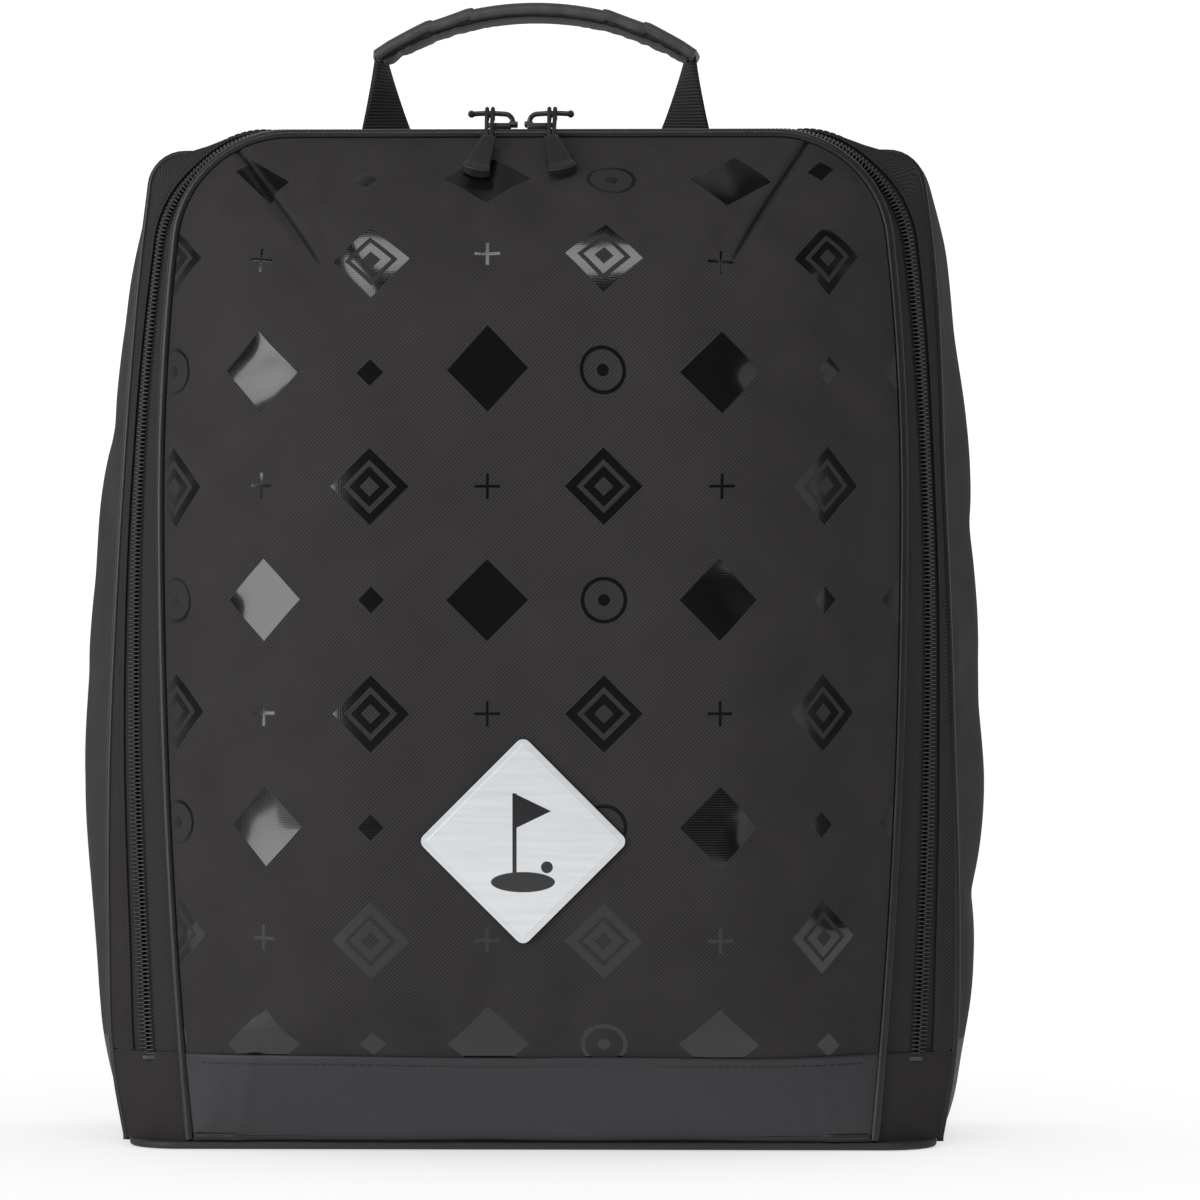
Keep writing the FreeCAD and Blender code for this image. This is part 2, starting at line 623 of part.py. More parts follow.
def band(label, radius, thick, width, half):
    # an arched strap: two round faces about one middle line, cut off upright at both ends
    centre = grip_top - size("grip_radius")
    inner = radius - thick
    body = add("PartDesign::Body", label)
    sketch = body_sketch(body, f"{label}_profile", "XZ_Plane")
    z = centre.number
    r_out, r_in, h = radius.number, inner.number, half.number
    a_out, a_in = math.acos(h / r_out), math.acos(h / r_in)
    e_out, e_in = z + r_out * math.sin(a_out), z + r_in * math.sin(a_in)
    sketch.addGeometry([arc(0, z, r_out, a_out, math.pi - a_out), arc(0, z, r_in, a_in, math.pi - a_in),
                        line(-h, e_out, -h, e_in), line(h, e_in, h, e_out)])
    rules = [("Coincident", 0, 2, 2, 1), ("Coincident", 2, 2, 1, 2), ("Coincident", 1, 1, 3, 1),
             ("Coincident", 3, 2, 0, 1), ("Coincident", 0, 3, 1, 3), ("PointOnObject", 0, 3, -2),
             ("Horizontal", 0, 1, 0, 2), ("Horizontal", 1, 1, 1, 2)]
    sketch.addConstraint([Sketcher.Constraint(*rule) for rule in rules])
    named(sketch, "Middle", centre, "DistanceY", -1, 1, 0, 3)
    named(sketch, "Outer", radius, "Radius", 0)
    named(sketch, "Inner", inner, "Radius", 1)
    named(sketch, "OuterEnd", half, "DistanceX", -1, 1, 0, 1)
    named(sketch, "InnerEnd", half, "DistanceX", -1, 1, 1, 1)
    pad(body, f"{label}_pad", sketch, width, midplane=True)
    move(body, 0, handle_y)
    return keep(body, label)


grip_face = size("grip_radius")
core_face = grip_face - size("grip_ply") - size("ply_gap")
under_face = core_face - size("core_ply") - size("ply_gap")
band("grip_cover", grip_face, size("grip_ply"), size("grip_width"), size("grip_half"))
band("grip_core", core_face, size("core_ply"), size("webbing_width"), size("grip_half"))
band("grip_underlay", under_face, size("grip_under"), size("grip_width"), size("grip_half"))
fold_drop = size("grip_radius") - Dim(
    "sqrt(Sizes.grip_radius ^ 2 - Sizes.grip_half ^ 2)",
    math.sqrt(size("grip_radius").number ** 2 - size("grip_half").number ** 2))
grip_depth = size("grip_ply") + size("core_ply") + size("grip_under") + size("ply_gap") * 4
leg_top = grip_top - fold_drop - grip_depth - size("body_gap")

for side, sign in (("left", -1), ("right", 1)):
    middle = size("handle_reach") * sign
    plate(f"handle_anchor_{side}", (middle - half_anchor, handle_y - half_length),
          (middle + half_anchor, handle_y + half_length), size("anchor_ply"), anchor_z,
          size("anchor_round"))
    sections = []
    for step in range(3):
        strap = add("Sketcher::SketchObject", f"leg_{side}_{step}")
        half_x = size("webbing_width") * 0.5
        half_y = size("webbing_ply") * 0.5
        polygon(strap, [(-half_x, -half_y), (half_x, -half_y), (half_x, half_y), (-half_x, half_y)])
        turned = size("webbing_twist").number * sign * step / 2
        strap.Placement = Placement(Vector(0, 0, 0), Rotation(Vector(0, 0, 1), turned))
        move(strap, middle, handle_y, leg_foot + (leg_top - leg_foot) * (step / 2))
        sections.append(strap)
    keep(loft(f"webbing_leg_{side}", sections), f"webbing_leg_{side}")

half_patch = size("patch_length") * 0.5
patch_z = station("seam")["top"] - wall - size("patch_ply") - size("ply_gap")
plate("handle_patch", (-half_patch, handle_y - size("patch_width") * 0.5),
      (half_patch, handle_y + size("patch_width") * 0.5), size("patch_ply"), patch_z,
      size("patch_round"))

# ---------------------------------------------------------------- check and write
doc.recompute()
faults = [obj.Name for obj in doc.Objects if {"Invalid", "Error"} & set(obj.State)]
faults += [name for name, obj in nodes.items() if obj.Shape.isNull() or not obj.Shape.isValid()]
if faults:
    raise SystemExit(f"failed: {faults}")
for name, obj in nodes.items():
    if not obj.Shape.Solids:
        raise SystemExit(f"{name} holds no solid")
    obj.Shape.exportStep(f"parts/{name}.step")
    print(f"{name}: {len(obj.Shape.Solids)} solid, {obj.Shape.Volume / 1000:.2f} cm3")
print(len(nodes), "nodes")
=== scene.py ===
import bpy
import json
import math
import numpy as np
from mathutils import Matrix, Vector, noise
from mathutils.bvhtree import BVHTree


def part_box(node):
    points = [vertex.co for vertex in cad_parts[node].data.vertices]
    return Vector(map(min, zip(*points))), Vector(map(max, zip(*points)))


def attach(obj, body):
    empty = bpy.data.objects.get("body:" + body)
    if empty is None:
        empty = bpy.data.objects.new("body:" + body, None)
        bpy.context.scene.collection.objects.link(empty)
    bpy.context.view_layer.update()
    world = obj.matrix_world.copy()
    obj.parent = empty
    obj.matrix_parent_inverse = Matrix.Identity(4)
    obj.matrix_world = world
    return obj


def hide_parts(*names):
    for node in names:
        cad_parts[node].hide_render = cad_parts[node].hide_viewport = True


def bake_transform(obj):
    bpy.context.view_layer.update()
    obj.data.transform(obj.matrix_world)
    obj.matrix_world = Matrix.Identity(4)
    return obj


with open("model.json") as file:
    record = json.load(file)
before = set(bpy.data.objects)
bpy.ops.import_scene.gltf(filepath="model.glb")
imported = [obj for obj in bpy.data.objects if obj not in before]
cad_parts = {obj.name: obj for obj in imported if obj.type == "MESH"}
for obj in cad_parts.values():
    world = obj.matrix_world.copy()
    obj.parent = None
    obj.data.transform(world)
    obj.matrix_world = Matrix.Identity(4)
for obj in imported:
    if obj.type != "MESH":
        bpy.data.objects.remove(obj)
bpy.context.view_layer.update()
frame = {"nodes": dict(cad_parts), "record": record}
mm = 0.001
tau = 2 * math.pi
bothSides = (("left", -1), ("right", 1))


# small tools
def deselect():
    if bpy.context.mode != "OBJECT":
        bpy.ops.object.mode_set(mode="OBJECT")
    bpy.ops.object.select_all(action="DESELECT")


def pick(obj):
    deselect()
    obj.select_set(True)
    bpy.context.view_layer.objects.active = obj


def editAll(obj):
    pick(obj)
    bpy.ops.object.mode_set(mode="EDIT")
    bpy.ops.mesh.select_all(action="SELECT")


def modify(obj, kind, **settings):
    # adds a modifier and applies it
    pick(obj)
    modifier = obj.modifiers.new(kind.lower(), kind)
    for key, value in settings.items():
        setattr(modifier, key, value)
    bpy.ops.object.modifier_apply(modifier=modifier.name)


def coordsOf(obj):
    points = np.empty(len(obj.data.vertices) * 3)
    obj.data.vertices.foreach_get("co", points)
    return points.reshape(-1, 3)


def setCoords(obj, points):
    obj.data.vertices.foreach_set("co", np.asarray(points, float).ravel())
    obj.data.update()


def place(obj, matrix=None):
    # puts an object's place into its mesh
    if matrix is not None:
        obj.matrix_world = matrix @ obj.matrix_world
    pick(obj)
    bpy.ops.object.transform_apply(location=True, rotation=True, scale=True)


def finishPiece(obj, name, material, body=None, stands=(), angle=40):
    if name in leaning:
        relax(obj)
    obj.name = name
    obj.data.name = name
    obj.data.materials.clear()
    obj.data.materials.append(material)
    pick(obj)
    bpy.ops.object.shade_smooth_by_angle(angle=math.radians(angle))
    if stands:
        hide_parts(*stands)
    if body:
        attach(obj, body)
    return obj


def joined(objects):
    deselect()
    for obj in objects:
        obj.select_set(True)
    bpy.context.view_layer.objects.active = objects[0]
    if len(objects) > 1:
        bpy.ops.object.join()
    return bpy.context.object


def clothGrid(points, cut):
    # a sheet of quads over rows of points, with its lengths on the flat cloth as its own map
    rows, columns = points.shape[:2]
    deselect()
    bpy.ops.mesh.primitive_grid_add(x_subdivisions=columns - 1, y_subdivisions=rows - 1, size=1)
    obj = bpy.context.object
    setCoords(obj, points.reshape(-1, 3))
    while obj.data.uv_layers:
        obj.data.uv_layers.remove(obj.data.uv_layers[0])
    layer = obj.data.uv_layers.new(name="cut")
    corners = np.empty(len(obj.data.loops), int)
    obj.data.loops.foreach_get("vertex_index", corners)
    layer.data.foreach_set("uv", cut.reshape(-1, 2)[corners].ravel())
    return obj


def measured(points):
    # lengths along the columns and along the rows of a grid
    along = np.zeros(points.shape[:2])
    across = np.zeros(points.shape[:2])
    along[1:] = np.cumsum(np.linalg.norm(np.diff(points, axis=0), axis=2), axis=0)
    across[:, 1:] = np.cumsum(np.linalg.norm(np.diff(points, axis=1), axis=2), axis=1)
    return np.stack([across, along], axis=2)


def faceOut(obj, flip=False):
    editAll(obj)
    if flip:
        bpy.ops.mesh.flip_normals()
    else:
        bpy.ops.mesh.normals_make_consistent(inside=False)
    bpy.ops.object.mode_set(mode="OBJECT")


def outwardOf(obj):
    # turns a strip's faces to point away from the middle of the bag
    obj.data.update()
    centres = np.array([face.center for face in obj.data.polygons])
    normals = np.array([face.normal for face in obj.data.polygons])
    away = centres - np.array((0, centres[:, 1].mean() + 0.05, 0.18))
    if (normals * away).sum() < 0:
        faceOut(obj, flip=True)


def selectWhere(obj, kind, test):
    # selects the faces or edges that pass a test, and leaves the mesh open for editing
    editAll(obj)
    bpy.ops.mesh.select_mode(type=kind)
    bpy.ops.mesh.select_all(action="DESELECT")
    bpy.ops.object.mode_set(mode="OBJECT")
    for part in obj.data.polygons if kind == "FACE" else obj.data.edges:
        part.select = bool(test(part))
    bpy.ops.object.mode_set(mode="EDIT")


def edgeSpan(obj, edge, axis):
    # how far an edge runs along an axis
    first, second = (obj.data.vertices[index].co for index in edge.vertices)
    return abs(first[axis] - second[axis])


def closeTube(obj):
    editAll(obj)
    bpy.ops.mesh.remove_doubles(threshold=1e-5)
    bpy.ops.mesh.fill_holes(sides=0)
    bpy.ops.mesh.select_all(action="SELECT")
    bpy.ops.mesh.normals_make_consistent(inside=False)
    bpy.ops.object.mode_set(mode="OBJECT")
    return obj


def thicken(obj, thick, levels=0):
    if levels:
        modify(obj, "SUBSURF", levels=levels, render_levels=levels)
    modify(obj, "SOLIDIFY", thickness=thick, offset=-1, use_even_offset=False)


def facedSheet(points, ply, levels=0):
    # a sheet over rows of points that faces out, with its ply
    sheet = clothGrid(points, measured(points))
    outwardOf(sheet)
    thicken(sheet, ply, levels)
    return sheet


def edgesOf(rows, columns):
    # marks the outer points of a grid
    marks = np.zeros((rows, columns), bool)
    marks[0], marks[-1], marks[:, 0], marks[:, -1] = True, True, True, True
    return marks.ravel()


def insetCorners(low, high, inset):
    return [(low.x + inset, low.y + inset), (high.x - inset, low.y + inset),
            (high.x - inset, high.y - inset), (low.x + inset, high.y - inset)]


def unit(vectors):
    return vectors / np.maximum(np.linalg.norm(vectors, axis=-1, keepdims=True), 1e-12)


def sweep(path, profile, side=None, turns=None, scales=None):
    # a closed tube: the profile's points carried along a path, side by side with a chosen direction
    path = np.asarray(path, float)
    ahead = unit(np.gradient(path, axis=0))
    side = np.broadcast_to((0, 1, 0) if side is None else side, path.shape)
    side = unit(side - (side * ahead).sum(1, keepdims=True) * ahead)
    out = np.cross(side, ahead)
    if turns is not None:
        c, s = np.cos(turns)[:, None], np.sin(turns)[:, None]
        side, out = side * c + out * s, out * c - side * s
    scales = np.ones((len(path), 2)) if scales is None else np.asarray(scales, float)
    profile = np.asarray(profile, float)
    points = (path[:, None] + side[:, None] * (profile[None, :, :1] * scales[:, None, :1])
              + out[:, None] * (profile[None, :, 1:] * scales[:, None, 1:]))
    return closeTube(clothGrid(points, measured(points)))


def ringProfile(radius, count):
    angles = np.linspace(0, tau, count + 1)
    return np.stack([np.cos(angles) * radius, np.sin(angles) * radius], axis=1)


def slabProfile(width, thick, soft, count=5):
    # a flat strip's section with round edges
    corners = []
    for cx, cy, start in ((1, 1, 0), (-1, 1, 1), (-1, -1, 2), (1, -1, 3)):
        for angle in np.linspace(start, start + 1, count) * math.pi / 2:
            corners.append((cx * (width / 2 - soft) + soft * math.cos(angle),
                            cy * (thick / 2 - soft) + soft * math.sin(angle)))
    return np.array(corners + corners[:1])


def block(low, high, bevel=0.0, segments=2):
    # a box between two corners with bevelled edges
    deselect()
    low, high = Vector(low), Vector(high)
    bpy.ops.mesh.primitive_cube_add(size=1, location=(low + high) / 2, scale=high - low)
    obj = bpy.context.object
    place(obj)
    if bevel:
        editAll(obj)
        bpy.ops.mesh.bevel(offset=bevel, segments=segments, affect="EDGES")
        bpy.ops.object.mode_set(mode="OBJECT")
    return obj


def copies(template, places):
    # one mesh with a copy of the template at each place, given as rows of origin, x, y and z directions
    mesh = template.data
    base = coordsOf(template)
    faces = [list(face.vertices) for face in mesh.polygons]
    points = np.concatenate([origin + base[:, :1] * x + base[:, 1:2] * y + base[:, 2:] * z
                             for origin, x, y, z in places])
    allFaces = [[i + k * len(base) for i in face] for k in range(len(places)) for face in faces]
    made = bpy.data.meshes.new("copies")
    made.from_pydata(points.tolist(), [], allFaces)
    made.update()
    obj = bpy.data.objects.new("copies", made)
    bpy.context.collection.objects.link(obj)
    bpy.data.objects.remove(template)
    return obj


clothSettings = {"quality": 6, "mass": 0.15, "tension_stiffness": 12, "compression_stiffness": 12,
                 "shear_stiffness": 6, "bending_stiffness": 1.2, "air_damping": 3, "use_pressure": True,
                 "vertex_group_mass": "pinned"}
clothFrames = 20


def settle(obj, pinned, pressure, grow, cap):
    # lets a sheet settle as cloth between its pinned places, and limits how far a point goes
    rest = coordsOf(obj)
    group = obj.vertex_groups.new(name="pinned")
    group.add([int(i) for i in np.nonzero(pinned)[0]], 1.0, "REPLACE")
    pick(obj)
    cloth = obj.modifiers.new("settle", "CLOTH")
    for key, value in clothSettings.items():
        setattr(cloth.settings, key, value)
    cloth.settings.shrink_min = cloth.settings.shrink_max = -grow
    cloth.settings.uniform_pressure_force = pressure
    cloth.settings.effector_weights.gravity = 0
    cloth.collision_settings.use_collision = False
    cloth.point_cache.frame_start = 1
    cloth.point_cache.frame_end = clothFrames
    for step in range(1, clothFrames + 1):
        bpy.context.scene.frame_set(step)
    bpy.ops.object.modifier_apply(modifier=cloth.name)
    bpy.context.scene.frame_set(1)
    moved = coordsOf(obj) - rest
    far = np.linalg.norm(moved, axis=1, keepdims=True)
    setCoords(obj, rest + moved * np.tanh(far / cap) * cap / np.maximum(far, 1e-9))
    obj.vertex_groups.clear()
    print("settled", obj.name, "by up to", round(float(far.max()) * 1000, 1), "mm")


# shader tools
class Wire:
    # a node's socket that takes part in sums
    def __init__(self, maker, socket):
        self.maker = maker
        self.socket = socket

    def math(self, operation, *others):
        return self.maker.number(operation, self, *others)

    def __add__(self, other):
        return self.math("ADD", other)

    def __radd__(self, other):
        return self.math("ADD", other)

    def __sub__(self, other):
        return self.math("SUBTRACT", other)

    def __rsub__(self, other):
        return self.maker.number("SUBTRACT", other, self)

    def __mul__(self, other):
        return self.math("MULTIPLY", other)

    def __rmul__(self, other):
        return self.math("MULTIPLY", other)

    def __truediv__(self, other):
        return self.math("DIVIDE", other)

    def __mod__(self, other):
        return self.math("FLOORED_MODULO", other)

    def __abs__(self):
        return self.math("ABSOLUTE")

    def wave(self, length):
        # a sine between 0 and 1 that repeats at this length
        return (self * (tau / length)).math("SINE") * 0.5 + 0.5

    def under(self, limit, soft):
        # 1 where the value is under the limit, with a soft edge
        return self.maker.number("MULTIPLY_ADD", self, -1 / soft, limit / soft + 0.5, use_clamp=True)


class Maker:
    # makes the nodes of one material, or of the world
    def __init__(self, name, world=None, **surface):
        self.material = world or bpy.data.materials.new(name)
        self.material.use_nodes = True
        self.tree = self.material.node_tree
        self.shader = self.tree.nodes["Background" if world else "Principled BSDF"]
        for socket, value in surface.items():
            self.shader.inputs[socket.replace("_", " ")].default_value = value

    def feed(self, socket, value):
        if isinstance(value, Wire):
            self.tree.links.new(value.socket, socket)
        elif isinstance(value, tuple) and len(value) == 3 and socket.type == "RGBA":
            socket.default_value = (*value, 1)
        else:
            socket.default_value = value

    def node(self, kind, settings=None, inputs=None, output=0):
        made = self.tree.nodes.new(kind)
        for key, value in (settings or {}).items():
            setattr(made, key, value)
        for key, value in (inputs or {}).items():
            self.feed(made.inputs[key], value)
        return Wire(self, made.outputs[output])

    def number(self, operation, *values, **settings):
        return self.node("ShaderNodeMath", {"operation": operation, **settings}, dict(enumerate(values)))

    def surface(self, **values):
        for name, value in values.items():
            self.feed(self.shader.inputs[name.replace("_", " ")], value)

    def split(self, vector):
        apart = self.node("ShaderNodeSeparateXYZ", None, {0: vector})
        return [Wire(self, apart.socket.node.outputs[index]) * 1000 for index in range(3)]

    def spot(self):
        # the place on the object, in mm
        return self.split(self.node("ShaderNodeTexCoord", None, None, "Object"))

    def cut(self):
        # the place on the flat cloth, in mm
        return self.split(self.node("ShaderNodeUVMap", {"uv_map": "cut"}))[:2]

    def join(self, x, y, z=0.0):
        return self.node("ShaderNodeCombineXYZ", None, {0: x, 1: y, 2: z})

    def spotVector(self):
        return self.join(*self.spot())

    def noise(self, vector, size, detail=2.0):
        # noise whose blots are about this many mm
        return self.node("ShaderNodeTexNoise", None, {
            "Vector": vector, "Scale": 1 / size, "Detail": detail, "Roughness": 0.5})

    def cells(self, vector, size):
        return self.node("ShaderNodeTexVoronoi", None, {"Vector": vector, "Scale": 1 / size})

    def mix(self, share, first, second):
        made = self.node("ShaderNodeMix", {"data_type": "RGBA"}, {0: share})
        node = made.socket.node
        self.feed(node.inputs[6], first)
        self.feed(node.inputs[7], second)
        return Wire(self, node.outputs[2])

    def bump(self, height, distance, strength=1.0):
        # a height of 0 to 1 over this many mm
        normal = self.node("ShaderNodeBump", None, {
            "Height": height, "Distance": distance * mm, "Strength": strength})
        self.surface(Normal=normal)


# camera, floor and light
lookFrom = {"lens": 165, "distance": 2.0365, "turn": 1.3, "height": 0.1997, "shift": 0.055}
studio = {"white": 1.1, "back": 0.75, "front": 0.035, "around": 0.48,   # the sky as seen, in the gloss, and as light
          "floor": 0.95, "glow": 0.58, "card": 0.75}
lamps = {
    "keyLeft": {"at": (-1.15, -1.05, 0.42), "size": (1.15, 1.3), "power": 18.5},
    "fillRight": {"at": (1.35, -0.85, 0.35), "size": (0.5, 1.2), "power": 1.2},
    "topSoft": {"at": (-0.1, -1.15, 1.45), "size": (1.3, 0.45), "power": 7},
}


def setCamera():
    turn = math.radians(lookFrom["turn"])
    spot = (lookFrom["distance"] * math.sin(turn), -lookFrom["distance"] * math.cos(turn), lookFrom["height"])
    deselect()
    bpy.ops.object.camera_add(location=spot, rotation=(math.pi / 2, 0, turn))
    camera = bpy.context.object
    camera.data.lens = lookFrom["lens"]
    camera.data.sensor_width = 36
    camera.data.shift_x = lookFrom["shift"]
    camera.data.clip_end = 100
    bpy.context.scene.camera = camera


def setStudio():
    bpy.context.scene.view_settings.view_transform = "Standard"
    world = bpy.data.worlds.new("studio")
    bpy.context.scene.world = world
    sky = Maker("studio", world)
    seen, mirrored = (sky.node("ShaderNodeLightPath", None, None, "Is " + ray + " Ray")
                      for ray in ("Camera", "Glossy"))
    behind = sky.split(sky.node("ShaderNodeTexCoord", None, None, "Generated"))[1]
    room = studio["front"] + (studio["back"] - studio["front"]) * (behind * 0.0013 + 0.3)
    room = room.math("MAXIMUM", studio["front"]).math("MINIMUM", studio["back"])
    sky.surface(Strength=seen * studio["white"] + (1 - seen) * (mirrored * room + (1 - mirrored) * studio["around"]))
    sky.surface(Color=(1.0, 1.0, 1.0))
    deselect()
    bpy.ops.mesh.primitive_plane_add(size=60, location=(0, 0, -0.0002))
    floor = bpy.context.object
    floor.name = "floor"
    floor.visible_glossy = False
    maker = Maker("paleFloor", Base_Color=(studio["floor"],) * 3 + (1,), Roughness=1, Specular_IOR_Level=0,
                  Emission_Strength=studio["glow"])
    maker.surface(Emission_Color=(1.0, 1.0, 1.0))
    floor.data.materials.append(maker.material)
    deselect()
    bpy.ops.mesh.primitive_plane_add(size=1.2, location=(0, -0.635, -0.0001))
    card = bpy.context.object                            # a pale card in front, seen only in the gloss
    card.name = "bounceCard"
    card.visible_camera = card.visible_diffuse = card.visible_shadow = False
    paper = Maker("cardPaper", Base_Color=(0, 0, 0, 1), Emission_Strength=studio["card"])
    paper.surface(Emission_Color=(1.0, 1.0, 1.0))
    card.data.materials.append(paper.material)
    onBag = bpy.data.collections.new("onBag")            # the lamps light the bag and leave the floor to the sky
    onBag.objects.link(floor)
    onBag.collection_objects[0].light_linking.link_state = "EXCLUDE"
    for name, lamp in lamps.items():
        deselect()
        bpy.ops.object.light_add(type="AREA", location=lamp["at"])
        light = bpy.context.object
        light.name = name
        light.data.shape = "RECTANGLE"
        light.data.size, light.data.size_y = lamp["size"]
        light.data.energy = lamp["power"]
        light.light_linking.receiver_collection = onBag
        aim = Vector((0, 0, 0.2)) - Vector(lamp["at"])
        light.rotation_euler = aim.to_track_quat("-Z", "Y").to_euler()


setCamera()
setStudio()
print("camera, floor and lights are set")

# outlines, in metres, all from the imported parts
pipeLow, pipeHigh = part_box("front_piping")
tailLow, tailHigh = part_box("back_panel")
pipe = {"radius": 1.85 * mm, "rim": 1.3 * mm}
ringWide = pipeHigh.x - pipe["radius"]
ringTop = pipeHigh.z - pipe["radius"]
foldZ = (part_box("leather_band")[1].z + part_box("front_panel")[0].z) / 2
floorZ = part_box("base_panel")[1].z


def outline(wide, drop, top, corner, lean, draw, back, low=3.6 * mm):
    return {"foot": wide - draw * mm, "low": low, "wide": wide, "waist": top - drop * mm,
            "flat": wide - (corner + lean) * mm, "top": top, "corner": corner * mm, "back": back * mm}


ring = outline(ringWide, 134, ringTop, 42, 5, 10.5, -38)
chain = outline(ringWide + 10.5 * mm, 180.5, ringTop + 1.5 * mm, 46, 7.5, 8.5, -30)
seam = outline(ringWide + 20.5 * mm, 266, ringTop - 3 * mm, 12, 9.5, 8, -20)
belly = outline(ringWide + 32.5 * mm, 229, ringTop, 14, 17.5, 16.5, 28)
rear = outline(ringWide + 31 * mm, 228, ringTop - 1 * mm, 16, 17, 17, 62)
tail = outline(ringWide + 22 * mm, 220, ringTop - 9 * mm, 18, 11, 16, 78, 8 * mm)


def archPoints(arch, t):
    # x and z at the places t: 0 in the middle of the top, 1 where the top ends, 2 where the side starts, 3 the foot
    t = np.asarray(t, float)
    part = np.abs(t)
    wide, waist, flat, top, corner = (arch[word] for word in ("wide", "waist", "flat", "top", "corner"))
    across, rise = wide - flat, top - corner - waist
    upper = (across ** 2 + rise ** 2 - corner ** 2) / (2 * (across - corner))
    lower = ((wide - arch["foot"]) ** 2 + (waist - arch["low"]) ** 2) / (2 * (wide - arch["foot"]))
    turn = math.atan2(rise, flat - wide + upper)
    dip = math.atan2(waist - arch["low"], arch["foot"] - wide + lower)
    run = np.clip(part - 2, 0, 1) * (upper * turn + lower * dip)
    angle = np.where(run < upper * turn, turn - run / upper, (upper * turn - run) / lower)
    radius = np.where(run < upper * turn, upper, lower)
    bend = math.pi / 2 + (turn - math.pi / 2) * np.clip(part - 1, 0, 1)
    x = np.where(part < 1, flat * part, np.where(part < 2, flat + corner * np.cos(bend),
                                                wide - radius + radius * np.cos(angle)))
    z = np.where(part < 1, top, np.where(part < 2, top - corner + corner * np.sin(bend),
                                         waist + radius * np.sin(angle)))
    return x * np.sign(t), z


def archRun(arch, start, end):
    # places close together along an outline, and how far each is from the start
    fine = np.linspace(start, end, 3000)
    x, z = archPoints(arch, fine)
    return fine, np.concatenate([[0], np.cumsum(np.hypot(np.diff(x), np.diff(z)))])


def evenPlaces(arch, start, end, count):
    fine, length = archRun(arch, start, end)
    return np.interp(np.linspace(0, length[-1], count), length, fine)


def placeAt(arch, height):
    # the place on the right side at this height
    fine = np.linspace(3, 1, 3000)
    return float(np.interp(height, archPoints(arch, fine)[1], fine))


def archNormals(arch, t):
    step = 1e-3
    x1, z1 = archPoints(arch, np.asarray(t) - step)
    x2, z2 = archPoints(arch, np.asarray(t) + step)
    return unit(np.stack([z1 - z2, x2 - x1], axis=-1))


def onPlane(arch, t, y=None, grow=0.0):
    x, z = archPoints(arch, t)
    out = archNormals(arch, t) * grow
    return np.stack([x + out[..., 0], np.full_like(x, arch["back"] if y is None else y), z + out[..., 1]], axis=-1)


# how the soft case stands: a little in at its shoulders and out at its foot
stance = {"height": (0, 35, 70, 145, 250, 290, 327, 357, 375),
          "left": (1.4, 2.9, 0.3, 0.0, -2.5, -3.3, -4.6, -6.0, -6.4),
          "right": (1.4, 2.9, 0.3, -1.6, -2.6, -1.6, -1.6, -3.6, -4.0), "shoulder": 2.6}
leaning = ("innerTape", "outerTape", "coilinner", "coilouter", "zipSurround", "surroundStitches", "rimPiping",
           "gussetEndLeft", "gussetEndRight", "zipStopLeft", "zipStopRight", "sidePanelLeft", "sidePanelRight",
           "topPanel", "topWeltLeft", "topWeltRight", "backPanel", "backWelt", "caseLining", "backLining")


def relax(obj):
    points = coordsOf(obj)
    x, y, z = points.T / mm
    share = np.clip((y + 38) / 18, 0, 1)
    share = share * share * (3 - 2 * share)
    move = sum(np.where(x < 0, np.interp(z + step, stance["height"], stance["left"]),
                        np.interp(z + step, stance["height"], stance["right"])) for step in (-16, -8, 0, 8, 16)) / 5
    points[:, 0] += np.sign(x) * move * share * np.clip(np.abs(x) / 125, 0, 1) ** 2 * mm
    shoulder = np.clip((np.abs(x) - 95) / 35, 0, 1) * np.clip((z - 330) / 30, 0, 1)
    points[:, 2] -= stance["shoulder"] * shoulder * share * mm
    setCoords(obj, points)
    return obj


# the dome of the front
dome = {"rim": -38.4 * mm, "deep": 41.6 * mm, "sideRun": 92 * mm, "topRun": 90 * mm, "footRun": 112 * mm,
        "power": 2.5, "footPower": 2.7, "reference": 199.6 * mm, "takeUp": 6.5 * mm}
darts = {  # where each starts at the rim and ends on the panel
    "left": {"rim": (-106.5 * mm, 362.5 * mm), "end": (-75.5 * mm, 320.5 * mm)},
    "right": {"rim": (98.7 * mm, 363.5 * mm), "end": (72.5 * mm, 320.8 * mm)},
}


def domeRise(x, z):
    # how far the front stands out, before its rim is brought to the piping
    sideFine = np.linspace(3, 2, 400)
    sideX, sideZ = archPoints(ring, sideFine)
    side = np.interp(z, sideZ, sideX)
    fromSide = np.clip(1 - (side - np.abs(x)) / dome["sideRun"], 0, 1.2)
    fromTop = np.clip(1 - (ring["top"] - z) / dome["topRun"], 0, 1.2)
    fromFoot = np.clip(1 - (z - ring["low"]) / dome["footRun"], 0, 1.2)
    return dome["deep"] * ((1 - fromSide ** dome["power"]) * (1 - fromTop ** dome["power"])
                           * (1 - fromFoot ** dome["footPower"]))


rimPlaces = evenPlaces(ring, -3, 3, 500)
rimLine = np.stack(archPoints(ring, rimPlaces), axis=1)
rimRise = domeRise(rimLine[:, 0], rimLine[:, 1])


def domeY(x, z, inward=0.0):
    flatX, flatZ = np.ravel(x), np.ravel(z)
    apart = np.hypot(flatX[:, None] - rimLine[None, :, 0], flatZ[:, None] - rimLine[None, :, 1])
    near = apart.argmin(axis=1)
    share = np.clip(1 - apart.min(axis=1) / (26 * mm), 0, 1) ** 2
    rise = domeRise(flatX, flatZ) - rimRise[near] * share
    return (dome["rim"] - rise + inward).reshape(np.shape(x))


